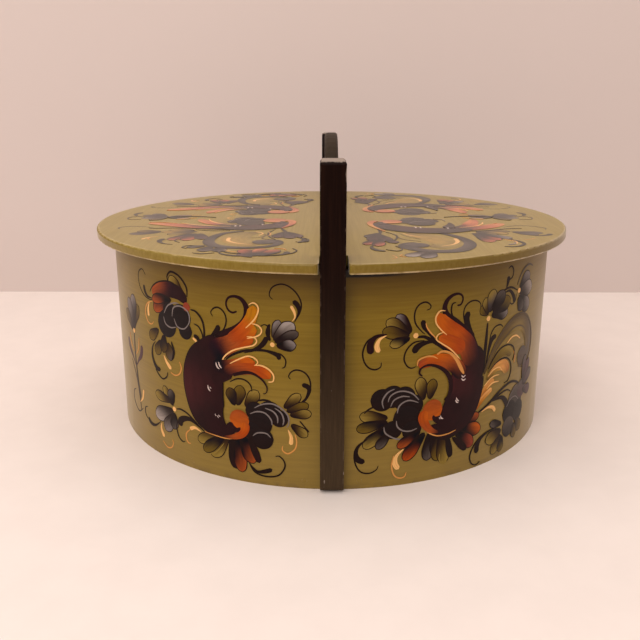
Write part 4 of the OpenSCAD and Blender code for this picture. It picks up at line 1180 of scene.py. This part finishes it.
def layPaint(name, panel, tree, body, material, opt, turn=0.0, onLid=False):
    source = bpy.data.objects.new(name + "Strokes", strokeMesh(name, panel, opt))
    bpy.context.scene.collection.objects.link(source)
    modifier = source.modifiers.new("layPaint", "NODES")
    modifier.node_group = tree
    values = {
        "Step": opt["lidStep" if onLid else "wallStep"], "Sink": opt["sink"] * mm, "Radius": bandR,
        "Turn": turn, "Lid Level": lidTop, "Sides": opt["sides"], "On Lid": onLid, "Paint": material,
    }
    for socket in tree.interface.items_tree:
        if socket.in_out == "INPUT" and socket.name in values:
            modifier[socket.identifier] = values[socket.name]
    view = bpy.context.evaluated_depsgraph_get()
    mesh = bpy.data.meshes.new_from_object(source.evaluated_get(view))
    bpy.data.objects.remove(source)
    shell = bmesh.new()
    shell.from_mesh(mesh)
    bmesh.ops.recalc_face_normals(shell, faces=shell.faces)
    shell.to_mesh(mesh)
    shell.free()
    mesh.shade_smooth()
    mesh.set_sharp_from_angle(angle=math.radians(opt["sharpDeg"]))
    piece = bpy.data.objects.new(name, mesh)
    bpy.context.scene.collection.objects.link(piece)
    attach(piece, body)
    print(name, len(mesh.polygons), "faces")
    return piece


def scrollPaintFinish(name, opt, coat):
    # thin oil paint whose brush left streaks along each stroke
    b = Board(name)
    paint = b.add("ShaderNodeAttribute", {"attribute_name": "paint"})[0]
    brush = b.add("ShaderNodeAttribute", {"attribute_name": "brush"})[1]
    streak = b.noise(b.scaled(brush, opt["streaks"]), 1.0, 3.0, 0.6)
    grit = b.noise(b.place(), opt["grit"], 2.0)
    dark = b.mix(1.0, paint, opt["streakShade"], "MULTIPLY")
    colour = b.mix(streak.ramp(0.35, 0.7) * 0.6, paint, dark)
    rough = 0.42 + streak * 0.14 + grit * 0.06
    return b.finish(colour, rough, b.bump(streak, opt["streakDepth"]), **coat)


paintTree = layPaintTree()
wallVarnish = {**varnish, "Coat_IOR": 1.2, "Sheen_Weight": 0.1}
wallScrollPaint = scrollPaintFinish("wallScrollPaint", paintSet, wallVarnish)
lidScrollPaint = scrollPaintFinish("lidScrollPaint", paintSet, varnish)


# from where a stroke was drawn, in mm, to where it goes on the wall or the lid
def onWall(x, y, opt=paintSet):
    return x + opt["wallShift"][0] + opt["farShift"] * (x / opt["farAt"]) ** 2, y + opt["wallShift"][1]


def nearQuarter(x, y, opt=paintSet):
    return x + opt["lidShift"][0], y + opt["lidShift"][1]


def farQuarter(x, y, opt=paintSet):
    return x + opt["lidShift"][0], opt["farFold"][0] - y * opt["farFold"][1]


def acrossLid(x, y):
    return -x, y


def insideRim(panel, opt=paintSet):
    return [stroke for stroke in panel if all(math.hypot(x, y) < opt["rimReach"] for x, y in stroke[0])]


paintLeftWall()
paintRightWall()
wallPanel = takeStrokes()
paintFarScroll()
sprigPanel = takeStrokes()
paintLidLeft()
lidLeft = takeStrokes()
paintLidRight()
lidRight = takeStrokes()
paintLidSide()
lidSide = takeStrokes()

layPaint("wall_painting_front", placed(wallPanel + sprigPanel, onWall), paintTree, "box",
         wallScrollPaint, paintSet)
layPaint("wall_painting_rear", placed(wallPanel, onWall), paintTree, "box",
         wallScrollPaint, paintSet, turn=math.pi)
lidPanel = placed(lidLeft + lidRight + lidSide, nearQuarter)
lidPanel += placed(lidLeft + lidRight, farQuarter, mirrored=True)
lidPanel += placed(lidSide, acrossLid, mirrored=True)
layPaint("lid_painting", insideRim(lidPanel), paintTree, "lid", lidScrollPaint, paintSet, onLid=True)
print("scrolls painted")
